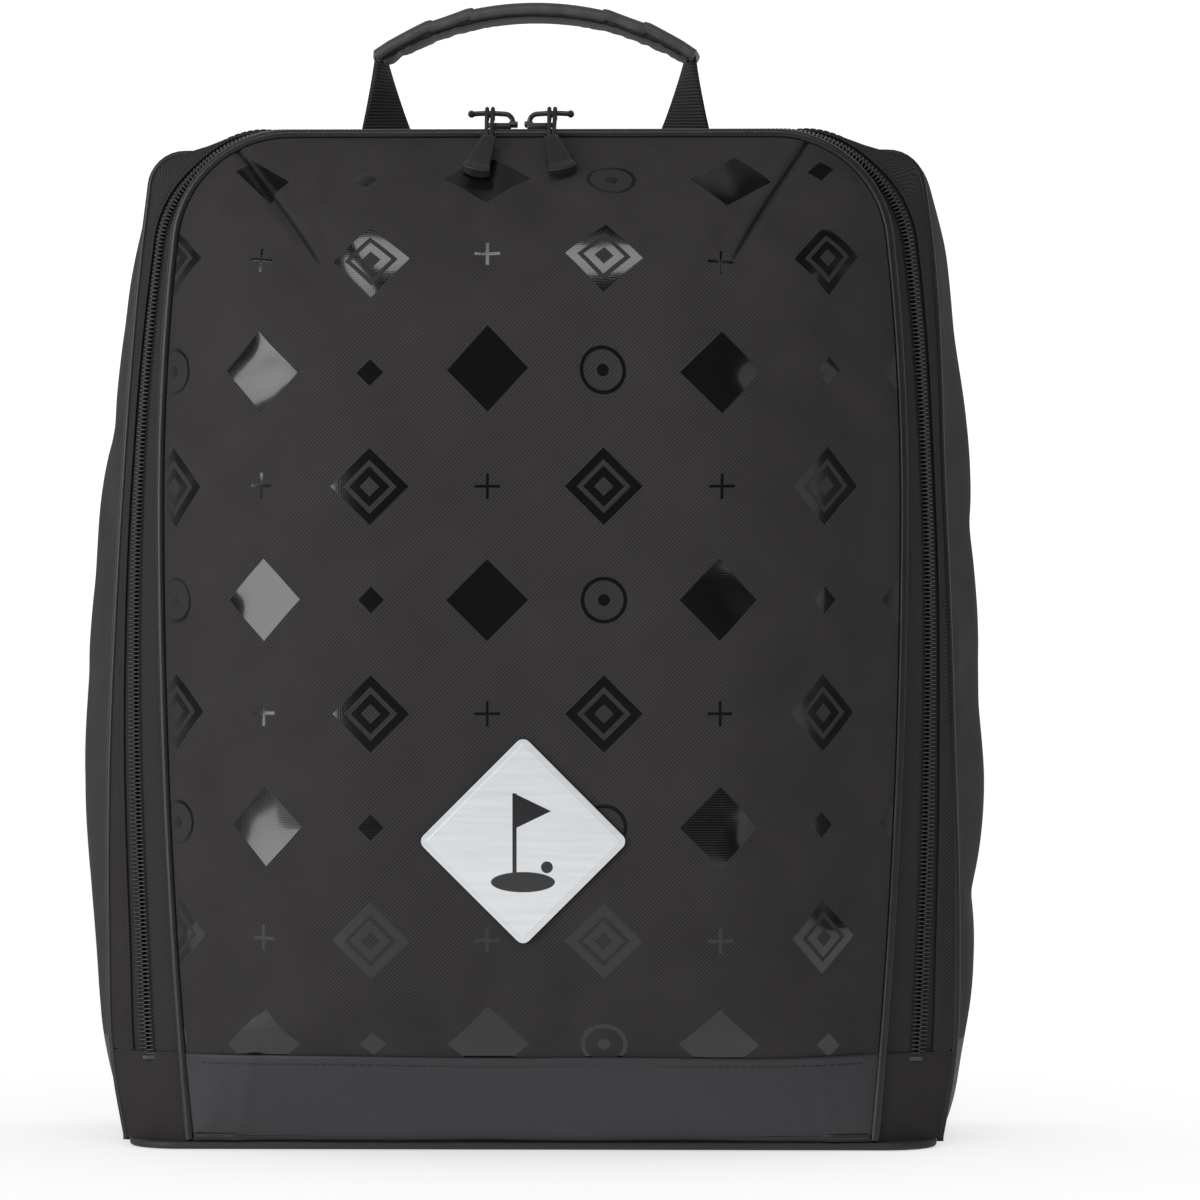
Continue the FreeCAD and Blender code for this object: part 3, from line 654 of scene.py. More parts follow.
def clothPlace(x, z):
    # lengths over the dome from its middle line and its reference height
    shares = (np.arange(48) + 0.5) / 48
    u = np.zeros(np.shape(x))
    v = np.zeros(np.shape(x))
    step = 0.5 * mm
    for share in shares:
        slope = (domeRise(x * share + step, z) - domeRise(x * share - step, z)) / (2 * step)
        u += np.sqrt(1 + slope ** 2) * x / 48
        at = dome["reference"] + (z - dome["reference"]) * share
        slope = (domeRise(x, at + step) - domeRise(x, at - step)) / (2 * step)
        v += np.sqrt(1 + slope ** 2) * (z - dome["reference"]) / 48
    v += dome["takeUp"] * np.clip((z - 0.318) / 0.035, 0, 1.3) ** 1.5
    return np.stack([u, v], axis=-1)


def filledPatch(left, right, bottom, top):
    v = np.linspace(0, 1, len(left))[:, None, None]
    u = np.linspace(0, 1, len(bottom))[None, :, None]
    corners = ((1 - v) * (1 - u) * bottom[0] + (1 - v) * u * bottom[-1] + v * (1 - u) * top[0] + v * u * top[-1])
    return (1 - v) * bottom[None] + v * top[None] + (1 - u) * left[:, None] + u * right[:, None] - corners


def archFill(arch, columns, rows, lowZ, inset):
    # x and z of a grid that fills an outline from a low line up
    right = onPlane(arch, evenPlaces(arch, placeAt(arch, lowZ), 1.5, rows), 0, -inset)[:, [0, 2]]
    left = right * (-1, 1)
    top = onPlane(arch, evenPlaces(arch, -1.5, 1.5, columns), 0, -inset)[:, [0, 2]]
    bottom = np.stack([np.linspace(left[0, 0], right[0, 0], columns), np.full(columns, right[0, 1])], axis=1)
    flat = filledPatch(left, right, bottom, top)
    return flat[..., 0], flat[..., 1]


def domePatch(columns, rows, lowZ, inset, inward=0.0):
    x, z = archFill(ring, columns, rows, lowZ, inset)
    return np.stack([x, domeY(x, z, inward), z], axis=-1)


# materials
prints = {"column": 41.4, "row": 40.3, "first": -97.6, "large": 14.6, "small": 4.8, "emblem": 13.8,
          "ring": 7.6, "plus": 4.6}
twill = {"rib": 1.05, "yarn": 0.62, "dark": (0.0105, 0.0092, 0.0094), "light": (0.042, 0.0375, 0.0380),
         "film": (0.0035, 0.0035, 0.0036), "dartTurn": 13}
caseStrip = {"height": 38, "pitch": 2.8, "rowDrop": 2.2, "threadHalf": 0.24, "threadShare": 0.64}


def twillHeight(u, v):
    # slanting ribs, each broken into short yarns
    ribs = (u - v).wave(twill["rib"] * math.sqrt(2))
    yarns = (u + v).wave(twill["yarn"] * math.sqrt(2))
    return ribs * (yarns * 0.45 + 0.55)


def twillSurface(maker, u, v, mask=None, dartSeamShade=None):
    height = twillHeight(u, v)
    flat = maker.join(u, v)
    fuzz = maker.noise(flat, 0.55, 3)
    patches = maker.noise(flat, 26, 2)
    tone = height * 0.72 + fuzz * 0.4 + (patches - 0.5) * 0.35 - 0.12
    colour = maker.mix(tone, twill["dark"], twill["light"])
    rough = 0.90 - height * 0.10
    relief = height * 0.7 + fuzz * 0.45
    if mask is not None:
        worn = maker.noise(flat, 1.4, 3)
        canvas = (u.wave(0.9) + v.wave(0.9)) * 0.12
        colour = maker.mix(mask, colour, twill["film"])
        rough = rough * (1 - mask) + (0.13 + worn * 0.08) * mask
        relief = relief * (1 - mask * 0.93) + canvas * mask + mask * 0.9
        # the dart seams are painted near black: painted shade in their sewn grooves; the same mask cuts the print and
        # sinks the bump there
        colour = maker.mix(dartSeamShade * 0.85, colour, (0.0025, 0.0025, 0.0025))
        relief = relief - dartSeamShade * 3.5
        mask = mask * (1 - dartSeamShade)
        maker.surface(Coat_Weight=mask * 0.85)
    maker.surface(Base_Color=colour, Roughness=rough)
    maker.bump(relief, 0.22, 0.55)


def makeTwill(name):
    maker = Maker(name, Specular_IOR_Level=0.22)
    u, v = maker.cut()
    twillSurface(maker, u, v)
    return maker.material


def makeCaseTwill(name, edgeRow):
    # twill above, a leather strip along the foot, and rows of stitches
    maker = Maker(name, Specular_IOR_Level=0.3)
    u, v = maker.cut()
    x, y, z = maker.spot()
    strip = z.under(caseStrip["height"], 0.3)
    groove = abs(z - caseStrip["height"]).under(0.35, 0.5)
    rows = [abs(distance).under(caseStrip["threadHalf"], 0.2) * run.wave(caseStrip["pitch"]).under(
        caseStrip["threadShare"], 0.1) for distance, run in ((z - caseStrip["height"] + caseStrip["rowDrop"], u),
                                                             (u - edgeRow, v))]
    thread = rows[0].math("MAXIMUM", rows[1])
    flat = maker.join(u, v)
    height = twillHeight(u, v)
    fuzz = maker.noise(flat, 0.55, 3)
    patches = maker.noise(flat, 30, 3)
    pebbles = maker.cells(maker.join(x, y, z), 0.9)
    tone = height * 0.72 + fuzz * 0.4 + (patches - 0.5) * 0.5 - 0.12
    cloth = maker.mix(tone, twill["dark"], twill["light"])
    skin = maker.mix(pebbles * 0.5 + patches * 0.6, (0.0125, 0.0120, 0.0150), (0.026, 0.025, 0.030))
    colour = maker.mix(thread * 0.8, maker.mix(strip, cloth, skin), (0.0030, 0.0030, 0.0032))
    rough = (0.90 - height * 0.10) * (1 - strip) + (0.50 + patches * 0.12) * strip
    relief = (height * 0.7 + fuzz * 0.45) * (1 - strip) + (1.4 - pebbles * 0.5) * strip
    maker.surface(Base_Color=colour, Roughness=rough)
    maker.bump(relief - groove * 2.5 + thread * 1.2, 0.22, 0.55)
    return maker.material


def turnedAbout(maker, u, v, end, aim, angle):
    # turns the cloth a little on each side of a dart, most along the dart and not at all past its end
    across, along = u - end[0], v - end[1]
    c, s = math.cos(aim), math.sin(aim)
    ahead = across * c + along * s
    aside = along * c - across * s
    where = maker.number("ARCTAN2", aside * -1, ahead * -1)   # the cut in this angle lies on the dart
    reach = maker.number("SQRT", across * across + along * along)
    turn = where * (angle / tau) * reach.under(85, 60) * -1
    cosine, sine = turn.math("COSINE"), turn.math("SINE")
    return end[0] + across * cosine - along * sine, end[1] + across * sine + along * cosine


def makePrintedTwill():
    maker = Maker("printedTwill", Specular_IOR_Level=0.30, Coat_Roughness=0.09)
    u, v = maker.cut()
    plainU, plainV = u, v
    dartSeamShade = 0.0
    for dart in darts.values():
        end, rim = (clothPlace(*(np.array(value) for value in dart[key])) * 1000 for key in ("end", "rim"))
        aim = math.atan2(rim[1] - end[1], rim[0] - end[0])
        ahead = (plainU - float(end[0])) * math.cos(aim) + (plainV - float(end[1])) * math.sin(aim)
        aside = (plainV - float(end[1])) * math.cos(aim) - (plainU - float(end[0])) * math.sin(aim)
        # the dart seam lines, whose colour is painted shade for their grooves
        dartSeamShade = dartSeamShade + abs(aside).under(0.65, 0.8) * (ahead * -1).under(-1, 6)
        u, v = turnedAbout(maker, u, v, tuple(map(float, end)), aim, math.radians(twill["dartTurn"]))
    column = ((u - prints["first"]) / prints["column"] + 0.5).math("FLOOR")
    row = (v / prints["row"] + 0.5).math("FLOOR")
    x = u - prints["first"] - column * prints["column"]
    y = v - row * prints["row"]
    oddRow, oddColumn = row % 2, column % 2
    fourth = column % 4
    soft = 0.28
    diamond = abs(x) + abs(y)
    circle = maker.number("SQRT", x * x + y * y)
    large = (1 - oddRow) * (1 - oddColumn) * diamond.under(prints["large"], soft)
    small = (1 - oddRow) * abs(fourth - 1).under(0.5, 0.1) * diamond.under(prints["small"], soft)
    hoop = abs(circle - prints["ring"]).under(0.75, soft)
    dot = circle.under(2.2, soft)
    rings = (1 - oddRow) * abs(fourth - 3).under(0.5, 0.1) * hoop.math("MAXIMUM", dot)
    hollow = abs(diamond - 8.4).under(1.1, soft)
    core = diamond.under(3.4, soft)
    emblem = oddRow * oddColumn * diamond.under(prints["emblem"], soft) * (1 - hollow.math("MAXIMUM", core))
    upright = abs(x).under(0.6, soft) * abs(y).under(prints["plus"], soft)
    level = abs(y).under(0.6, soft) * abs(x).under(prints["plus"], soft)
    bars = upright.math("MAXIMUM", level)
    plus = oddRow * (1 - oddColumn) * bars
    mask = large.math("MAXIMUM", small).math("MAXIMUM", rings).math("MAXIMUM", emblem).math("MAXIMUM", plus)
    twillSurface(maker, u, v, mask, dartSeamShade)
    return maker.material


def makeLeather(name, colour, rough, grain, depth=0.10):
    maker = Maker(name, Specular_IOR_Level=0.45)
    spot = maker.spotVector()
    pebbles = maker.cells(spot, grain)
    fine = maker.noise(spot, grain * 0.5, 3)
    broad = maker.noise(spot, 22, 3)
    tone = pebbles * 0.5 + broad * 0.6
    light = tuple(value * 1.8 for value in colour)
    maker.surface(Base_Color=maker.mix(tone, colour, light), Roughness=rough + (broad - 0.5) * 0.22 + fine * 0.08)
    maker.bump(pebbles * -1 + fine * 0.5, depth, 0.5)
    return maker.material


def makeTape():
    maker = Maker("zipTape", Roughness=0.85, Specular_IOR_Level=0.3)
    u, v = maker.cut()
    knit = u.wave(0.75) * v.wave(0.5)
    fuzz = maker.noise(maker.join(u, v), 0.5, 2)
    maker.surface(Base_Color=maker.mix(knit * 0.6 + fuzz * 0.5, (0.008, 0.0075, 0.008), (0.040, 0.037, 0.038)),
                  Roughness=0.84 - knit * 0.1)
    maker.bump(knit, 0.2, 0.6)
    return maker.material


def makeCoil():
    maker = Maker("coilNylon", Specular_IOR_Level=0.6)
    streaks = maker.noise(maker.spotVector(), 0.9, 3)
    maker.surface(Base_Color=maker.mix(streaks, (0.016, 0.016, 0.016), (0.050, 0.050, 0.050)),
                  Roughness=0.28 + streaks * 0.2)
    maker.bump(streaks, 0.05, 0.3)
    return maker.material


def makeWebbing():
    maker = Maker("ribbedWebbing", Specular_IOR_Level=0.3)
    u, v = maker.cut()
    ribs = v.wave(1.3)
    yarns = (u + v * 0.35).wave(0.8)
    fuzz = maker.noise(maker.join(u, v), 0.6, 3)
    tone = ribs * 0.6 + yarns * 0.2 + fuzz * 0.3 - 0.1
    maker.surface(Base_Color=maker.mix(tone, (0.010, 0.009, 0.009), (0.040, 0.036, 0.035)),
                  Roughness=0.85 - ribs * 0.18)
    maker.bump(ribs + yarns * 0.3, 0.4, 0.8)
    return maker.material


def makeMetal():
    maker = Maker("blackEnamel", Coat_Weight=0.5, Coat_Roughness=0.12, Specular_IOR_Level=0.6)
    spot = maker.spotVector()
    dull = maker.noise(spot, 2.2, 4)
    maker.surface(Base_Color=maker.mix(dull, (0.010, 0.010, 0.011), (0.030, 0.030, 0.031)),
                  Roughness=0.22 + dull * 0.25, Metallic=0.35)
    maker.bump(maker.noise(spot, 0.6, 2), 0.03, 0.4)
    return maker.material


def makeCord():
    maker = Maker("braidedCord", Specular_IOR_Level=0.35)
    u, v = maker.cut()
    braid = (u + v).wave(0.85) * (u - v).wave(0.85)
    maker.surface(Base_Color=maker.mix(braid, (0.010, 0.010, 0.010), (0.060, 0.058, 0.056)),
                  Roughness=0.8 - braid * 0.2)
    maker.bump(braid, 0.3, 0.8)
    return maker.material


def makeThread():
    maker = Maker("stitchThread", Specular_IOR_Level=0.4)
    x, y, z = maker.spot()
    twist = (x + z * 0.8 + y * 0.5).wave(0.45)
    maker.surface(Base_Color=maker.mix(twist, (0.004, 0.004, 0.004), (0.026, 0.025, 0.026)),
                  Roughness=0.55 + twist * 0.2)
    maker.bump(twist, 0.1, 0.6)
    return maker.material


def makeLining(name, dark, light):
    maker = Maker(name, Specular_IOR_Level=0.35)
    u, v = maker.cut()
    weave = u.wave(0.8) * 0.5 + v.wave(0.8) * 0.5
    patches = maker.noise(maker.join(u, v), 14, 3)
    maker.surface(Base_Color=maker.mix(weave * 0.6 + patches * 0.5, dark, light), Roughness=0.62 + patches * 0.15)
    maker.bump(weave, 0.15, 0.5)
    return maker.material


flag = {"poleAt": -3, "pole": 0.75, "poleTop": 17, "poleFoot": -13, "cloth": 13, "clothFoot": 4.5,
        "green": 11.4, "greenZ": -14.5, "ball": 2.1, "ballX": 8.5, "ballZ": -9.2, "edge": 34.6}


def makeBadge(middle):
    maker = Maker("pearlBadge", Coat_Weight=0.35, Coat_Roughness=0.12, Specular_IOR_Level=0.6)
    x, y, z = maker.spot()
    x, z = x - middle[0] * 1000, z - middle[1] * 1000
    soft = 0.12
    along = x - flag["poleAt"]
    poleMiddle, poleHalf = (flag["poleTop"] + flag["poleFoot"]) / 2, (flag["poleTop"] - flag["poleFoot"]) / 2
    pole = abs(along).under(flag["pole"], soft) * abs(z - poleMiddle).under(poleHalf, soft)
    centre, span = (flag["poleTop"] + flag["clothFoot"]) / 2, (flag["poleTop"] - flag["clothFoot"]) / 2
    cloth = (abs(z - centre) / span + along / flag["cloth"]).under(1, 0.015) * (along * -1).under(0.5, soft)
    over = z - flag["greenZ"]
    green = maker.number("SQRT", x * x + over * over * 10).under(flag["green"], 0.3)
    aside, above = x - flag["ballX"], z - flag["ballZ"]
    ball = maker.number("SQRT", aside * aside + above * above).under(flag["ball"], soft)
    edge = 1 - (abs(x) + abs(z)).under(flag["edge"], 0.3)
    mask = pole.math("MAXIMUM", cloth).math("MAXIMUM", green).math("MAXIMUM", ball)
    satin = maker.noise(maker.join(x * 0.2, z * 3.0), 6, 3)
    pearl = maker.mix(satin * 0.8, (0.55, 0.58, 0.61), (0.79, 0.81, 0.81))
    lit = maker.mix(edge * 0.35, pearl, (0.50, 0.53, 0.55))
    maker.surface(Base_Color=maker.mix(mask, lit, (0.012, 0.012, 0.014)), Roughness=0.34 - mask * 0.08 + satin * 0.06,
                  Metallic=0.25 * (1 - mask))
    maker.bump(1 - mask + edge * -0.8 + satin * 0.05, 0.25, 0.6)
    return maker.material


def makeBoard():
    maker = Maker("foamSheet", Roughness=0.9)
    pores = maker.cells(maker.spotVector(), 1.1)
    maker.surface(Base_Color=maker.mix(pores, (0.05, 0.05, 0.05), (0.16, 0.16, 0.16)), Roughness=0.8 + pores * 0.15)
    maker.bump(pores, 0.3, 0.6)
    return maker.material


plainTwill = makeTwill("plainTwill")
sideTwill = makeCaseTwill("sideTwill", 4.2)
backTwill = makeCaseTwill("backTwill", -400)
printedTwill = makePrintedTwill()
bandLeather = makeLeather("bandLeather", (0.0145, 0.0140, 0.0172), 0.52, 0.9)
gripLeather = makeLeather("gripLeather", (0.027, 0.028, 0.0275), 0.46, 0.8)
wornLeather = makeLeather("wornLeather", (0.0075, 0.0068, 0.0062), 0.62, 0.7, 0.16)
tabLeather = makeLeather("tabLeather", (0.010, 0.010, 0.010), 0.32, 0.8)
pipeLeather = makeLeather("pipeLeather", (0.007, 0.0065, 0.0068), 0.34, 0.7, 0.06)
baseSkin = makeLeather("baseSkin", (0.011, 0.0105, 0.011), 0.60, 1.3, 0.18)
zipTape = makeTape()
coilNylon = makeCoil()
ribbedWebbing = makeWebbing()
blackEnamel = makeMetal()
braidedCord = makeCord()
stitchThread = makeThread()
innerLining = makeLining("innerLining", (0.020, 0.020, 0.022), (0.075, 0.075, 0.080))
bindingTape = makeLining("bindingTape", (0.015, 0.015, 0.016), (0.050, 0.050, 0.052))
foamSheet = makeBoard()
print("materials are made")


# stitches
stitch = {"pitch": 2.8 * mm, "long": 2.1 * mm, "thick": 0.42 * mm}


def stitches(line, outward, name, body, pitch=None):
    # a row of short threads along a line, each a bevelled bar that dips at both ends
    line, outward = np.asarray(line, float), np.asarray(outward, float)
    pitch = pitch or stitch["pitch"]
    length = np.concatenate([[0], np.cumsum(np.linalg.norm(np.diff(line, axis=0), axis=1))])
    count = max(2, int(length[-1] / pitch))
    spots = (np.arange(count) + 0.5) * length[-1] / count
    at = np.stack([np.interp(spots, length, line[:, axis]) for axis in range(3)], axis=1)
    out = unit(np.stack([np.interp(spots, length, outward[:, axis]) for axis in range(3)], axis=1))
    ahead = unit(np.stack([np.interp(spots + 1e-4, length, line[:, axis]) for axis in range(3)], axis=1)
                 - np.stack([np.interp(spots - 1e-4, length, line[:, axis]) for axis in range(3)], axis=1))
    side = unit(np.cross(out, ahead))
    half, thick = stitch["long"] / 2, stitch["thick"] / 2
    thread = block((-half, -thick, -thick), (half, thick, thick), thick * 0.8, 1)
    points = coordsOf(thread)
    points[:, 2] -= (points[:, 0] / half) ** 2 * thick * 1.2
    setCoords(thread, points)
    obj = copies(thread, list(zip(at, ahead, side, out)))
    return finishPiece(obj, name, stitchThread, body)


# front panel
front = {"columns": 60, "rows": 70, "low": foldZ - 4.5 * mm, "inset": 1.5 * mm, "ply": 3.4 * mm,
         "dartDeep": 1.9 * mm, "dartWide": 1.4 * mm, "dartLap": 0.8 * mm, "pucker": 0.3 * mm}


def dartRelief(x, z):
    # a sewn groove that fades at its end, a lap on its inner side and a dent with small puckers past the end
    rise = np.zeros(np.shape(x))
    for dart in darts.values():
        rim, end = np.array(dart["rim"]), np.array(dart["end"])
        aim = rim - end
        reach = np.linalg.norm(aim)
        aim = aim / reach
        along = (x - end[0]) * aim[0] + (z - end[1]) * aim[1]
        aside = ((x - end[0]) * aim[1] - (z - end[1]) * aim[0]) * (1 if end[0] > 0 else -1)
        opened = np.clip(along / (14 * mm), 0, 1)
        groove = np.exp(-(aside / front["dartWide"]) ** 2) * opened
        lap = np.exp(-((aside + 3.5 * mm) / (3.2 * mm)) ** 2) * opened
        rise += groove * -front["dartDeep"] + lap * front["dartLap"]
        beyond = np.exp(-((along + 9 * mm) / (15 * mm)) ** 2 - (aside / (11 * mm)) ** 2)
        ripple = np.cos(aside / (7 * mm) * math.pi) * np.exp(-((along - 6 * mm) / (24 * mm)) ** 2
                                                            - (aside / (15 * mm)) ** 2)
        rise += beyond * -2.3 * mm + ripple * front["pucker"]
    return rise


def makeFront():
    points = domePatch(front["columns"], front["rows"], front["low"], front["inset"])
    tuck = np.clip((foldZ + 2 * mm - points[..., 2]) / (4 * mm), 0, 1)
    points[..., 1] += tuck * 1.3 * mm
    sheet = clothGrid(points, clothPlace(points[..., 0], points[..., 2]))
    rows, columns = points.shape[:2]
    pinned = np.zeros((rows, columns), bool)
    pinned[:3], pinned[-2:], pinned[:, :2], pinned[:, -2:] = True, True, True, True
    for dart in darts.values():
        rim, end = np.array(dart["rim"]), np.array(dart["end"])
        aim = rim - end
        share = np.clip(((points[..., [0, 2]] - end) @ aim) / (aim @ aim), 0, 1)
        nearest = end + share[..., None] * aim
        pinned |= np.linalg.norm(points[..., [0, 2]] - nearest, axis=2) < 2.6 * mm
    settle(sheet, pinned.ravel(), 1.2, grow=0.012, cap=2.2 * mm)
    modify(sheet, "SUBSURF", levels=2, render_levels=2)
    shape = coordsOf(sheet)
    shape[:, 1] -= dartRelief(shape[:, 0], shape[:, 2]) * (shape[:, 2] > 0.2)
    setCoords(sheet, shape)
    thicken(sheet, front["ply"])
    tree = BVHTree.FromObject(sheet, bpy.context.evaluated_depsgraph_get())
    finishPiece(sheet, "frontPanel", printedTwill, None, ("front_panel", "front_foam"), 60)
    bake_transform(sheet)
    return tree


frontTree = makeFront()
print("front panel is made")

# leather band below the fold
band = {"low": floorZ + 0.3 * mm, "proud": 0.9 * mm, "ply": 1.3 * mm, "roll": 1.0 * mm, "stitchDrop": 2.6 * mm,
        "columns": 120}


def makeBand():
    heights = np.linspace(band["low"], foldZ + 0.6 * mm, 14)
    across = np.linspace(-1, 1, band["columns"])
    rows = []
    for z in heights:
        half = float(archPoints(ring, placeAt(ring, z))[0]) - 0.4 * mm
        x = across * half
        sag = 0.5 * mm * np.sin(x * 41 + 1.0) * np.sin(x * 17) * (z - heights[0]) / (heights[-1] - heights[0])
        height = np.full_like(x, z) + sag
        crease = 0.9 * mm * np.exp(-((x + half - 17 * mm - (z - heights[0]) * 0.3) / (2.4 * mm)) ** 2)
        crease += 0.7 * mm * np.exp(-((x - half + 15 * mm + (z - heights[0]) * 0.25) / (2.2 * mm)) ** 2)
        wobble = np.array([noise.noise(Vector((value * 26, 0.0, z * 34))) for value in x]) * 0.8 * mm
        edge = np.clip((1 - np.abs(across)) / 0.06, 0, 1)
        y = domeY(x, height) - (band["proud"] + crease + wobble) * edge
        rows.append(np.stack([x, y, height], axis=1))
    rows = np.array(rows)
    top = rows[-1]
    roll = []
    for angle in (30, 75, 120, 160):
        turn = math.radians(angle)
        roll.append(top + (0, band["roll"] * (1 - math.cos(turn)), band["roll"] * math.sin(turn)))
    roll.append(roll[-1] + (0, 0.2 * mm, -3.0 * mm))
    points = np.concatenate([rows, np.array(roll)])
    sheet = clothGrid(points, measured(points))
    thicken(sheet, band["ply"] * 0.6, 1)
    finishPiece(sheet, "leatherBand", bandLeather, "root", ("leather_band",), 60)
    low = rows[0] + (0, -0.3 * mm, 1.6 * mm)
    foot = sweep(low[1:-1], ringProfile(1.25 * mm, 12), side=(0, 0, 1))
    finishPiece(foot, "bandFootPiping", pipeLeather, "root", (), 60)
    drop = int(np.argmin(np.abs(heights - (heights[-1] - band["stitchDrop"]))))
    line = (rows[drop] + (0, -0.15 * mm, 0))[3:-3]
    stitches(line, np.tile((0, -1, 0.25), (len(line), 1)), "bandStitches", "root")


makeBand()
print("leather band is made")

# piping round the front and round the case
piping = {"steps": 420, "sides": 14}


def makePiping():
    t = evenPlaces(ring, -3, 3, piping["steps"])
    path = onPlane(ring, t)
    keep = path[:, 2] > floorZ + 0.2 * mm
    tube = sweep(path[keep], ringProfile(pipe["radius"] * 0.985, piping["sides"]))
    finishPiece(tube, "frontPiping", pipeLeather, None,
                ("front_piping", "piping_foot_left", "piping_foot_right"), 60)
    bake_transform(tube)
    t = evenPlaces(seam, -3, 3, piping["steps"])
    path = onPlane(seam, t)
    keep = path[:, 2] > floorZ + 0.2 * mm
    path = path[keep]
    feet = [path[0] - (0, 0, 1.9 * mm), path[-1] - (0, 0, 1.9 * mm)]
    rim = sweep(np.concatenate([feet[:1], path, feet[1:]]), ringProfile(pipe["rim"], piping["sides"]))
    finishPiece(rim, "rimPiping", pipeLeather, "root", ("rim_piping",), 60)


makePiping()

# zip: tapes, coils, surround and gusset ends
zipper = {"pitch": 1.5 * mm, "reach": 3.1 * mm, "cross": 0.30 * mm, "high": 1.45 * mm, "across": 0.66 * mm,
          "slope": 18 * mm, "stations": 260}
zipFoot = placeAt(chain, foldZ - 0.4 * mm)


def chainFrame(t):
    # middle point, outward and across directions of the zip at the places t
    middle = onPlane(chain, t)
    out = archNormals(chain, t)
    gap = (np.stack(archPoints(seam, t), -1) - np.stack(archPoints(ring, t), -1))
    slope = np.clip((gap * out).sum(1) / zipper["slope"], 0, 2)
    out = np.stack([out[:, 0], np.zeros(len(out)), out[:, 1]], axis=1)
    across = unit(out * slope[:, None] + (0, 1, 0))
    ahead = unit(np.cross(out, (0, 1, 0)))
    return middle, unit(np.cross(ahead, across) * -1), across, ahead


def zipStrip(offsets, edge=None, y=None, grow=0.0):
    # a strip along the zip: offsets across the chain, or out to another outline
    t = evenPlaces(chain, -zipFoot, zipFoot, zipper["stations"])
    middle, out, across, ahead = chainFrame(t)
    rows = [middle + across * a + out * h for a, h in offsets]
    if edge is not None:
        far = onPlane(edge, t, y, grow)
        rows = rows + [rows[-1] * 0.5 + far * 0.5, far]
    return np.array(rows)


def makeZip():
    for name, slotName, node, side, body in (("innerTape", "zip_tape", "zip_tape_inner", -1, "front_flap"),
                                             ("outerTape", "zip_tape", "zip_tape_outer", 1, "root")):
        if side < 0:
            points = zipStrip([(-0.9 * mm, -0.55 * mm), (-4.4 * mm, -0.5 * mm)], ring,
                              ring["back"] + 1.2 * mm, -0.9 * mm)[::-1]
        else:
            points = zipStrip([(0.9 * mm, -0.55 * mm), (3.6 * mm, -0.5 * mm), (7.2 * mm, -0.6 * mm)])
        tape = facedSheet(points, 0.6 * mm)
        finishPiece(tape, name, zipTape, None if side < 0 else body, (node,), 50)
        if side < 0:
            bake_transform(tape)
        length = archRun(chain, -zipFoot, zipFoot)[1][-1]
        count = int(length / zipper["pitch"])
        spots = (np.arange(count) + (0.25 if side < 0 else 0.75)) / count
        fine = evenPlaces(chain, -zipFoot, zipFoot, 4001)
        t = np.interp(spots, np.linspace(0, 1, 4001), fine)
        middle, out, across, ahead = chainFrame(t)
        half = zipper["across"] / 2
        tooth = block((-half, -zipper["cross"], -0.45 * mm), (half, zipper["reach"], zipper["high"] - 0.45 * mm),
                      0.30 * mm, 2)
        shape = coordsOf(tooth)
        share = (shape[:, 1] + zipper["cross"]) / (zipper["reach"] + zipper["cross"])
        shape[:, 0] *= 1.0 - 0.25 * np.clip(share, 0, 1)
        shape[:, 2] -= share ** 2 * 0.35 * mm
        setCoords(tooth, shape)
        coil = copies(tooth, list(zip(middle + out * 0.15 * mm, ahead, across * side, out)))
        faceOut(coil)
        coilNode = "zip_teeth_inner" if side < 0 else "zip_teeth_outer"
        finishPiece(coil, coilNode.replace("zip_teeth_", "coil"), coilNylon,
                    None if side < 0 else body, (coilNode,), 50)
        if side < 0:
            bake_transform(coil)
    points = zipStrip([(7.2 * mm, -0.1 * mm), (6.0 * mm, 0.0), (5.7 * mm, 0.45 * mm), (6.2 * mm, 0.8 * mm),
                       (7.6 * mm, 0.8 * mm)], seam, seam["back"] - 0.9 * mm, -0.3 * mm)
    surround = facedSheet(points, 0.7 * mm)
    finishPiece(surround, "zipSurround", plainTwill, "root", ("zip_surround",), 50)
    t = evenPlaces(chain, -zipFoot, zipFoot, 500)
    middle, out, across, ahead = chainFrame(t)
    stitches(middle + across * 7.7 * mm + out * 0.95 * mm, out, "surroundStitches", "root", 2.6 * mm)


makeZip()
print("zip is made")

gusset = {"rows": 26, "columns": 12}


def makeGussetEnds():
    for side, sign in bothSides:
        low, high = floorZ - 0.4 * mm, foldZ + 0.9 * mm
        heights = np.linspace(low, high, gusset["rows"])
        rows = []
        for z in heights:
            ends = [np.array((sign * archPoints(arch, placeAt(arch, z))[0], y, z))
                    for arch, y in ((ring, ring["back"] + 0.6 * mm), (seam, seam["back"] - 0.8 * mm))]
            share = np.linspace(0, 1, gusset["columns"])[:, None]
            line = ends[0] * (1 - share) + ends[1] * share
            bulge = np.sin(share[:, 0] * math.pi) * 1.9 * mm
            fold = 0.7 * mm * np.sin(share[:, 0] * 9 + z * 240)
            line[:, 0] += sign * (bulge + fold * np.sin(share[:, 0] * math.pi)) * 0.7
            line[:, 1] -= bulge * 0.7
            rows.append(line)
        end = facedSheet(np.array(rows), 1.2 * mm, 1)
        finishPiece(end, "gussetEnd" + side.title(), plainTwill, "root", ("gusset_end_" + side,), 60)
        node = "zip_stop_" + side
        lowest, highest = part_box(node)
        stop = block(lowest, highest, 0.5 * mm, 3)
        selectWhere(stop, "FACE", lambda face: face.normal.z > 0.99)
        bpy.ops.mesh.inset(thickness=0.9 * mm, depth=-0.35 * mm)
        bpy.ops.object.mode_set(mode="OBJECT")
        finishPiece(stop, "zipStop" + side.title(), coilNylon, "root", (node,), 40)


makeGussetEnds()

# case: side, top and back panels
case = {"columns": 26, "sideRows": 84, "topRows": 60, "front": seam["back"] + 1.4 * mm, "split": tail["flat"],
        "ply": 3.6 * mm, "grow": 0.006, "cap": 1.2 * mm}


stations = [seam, belly, rear, tail]


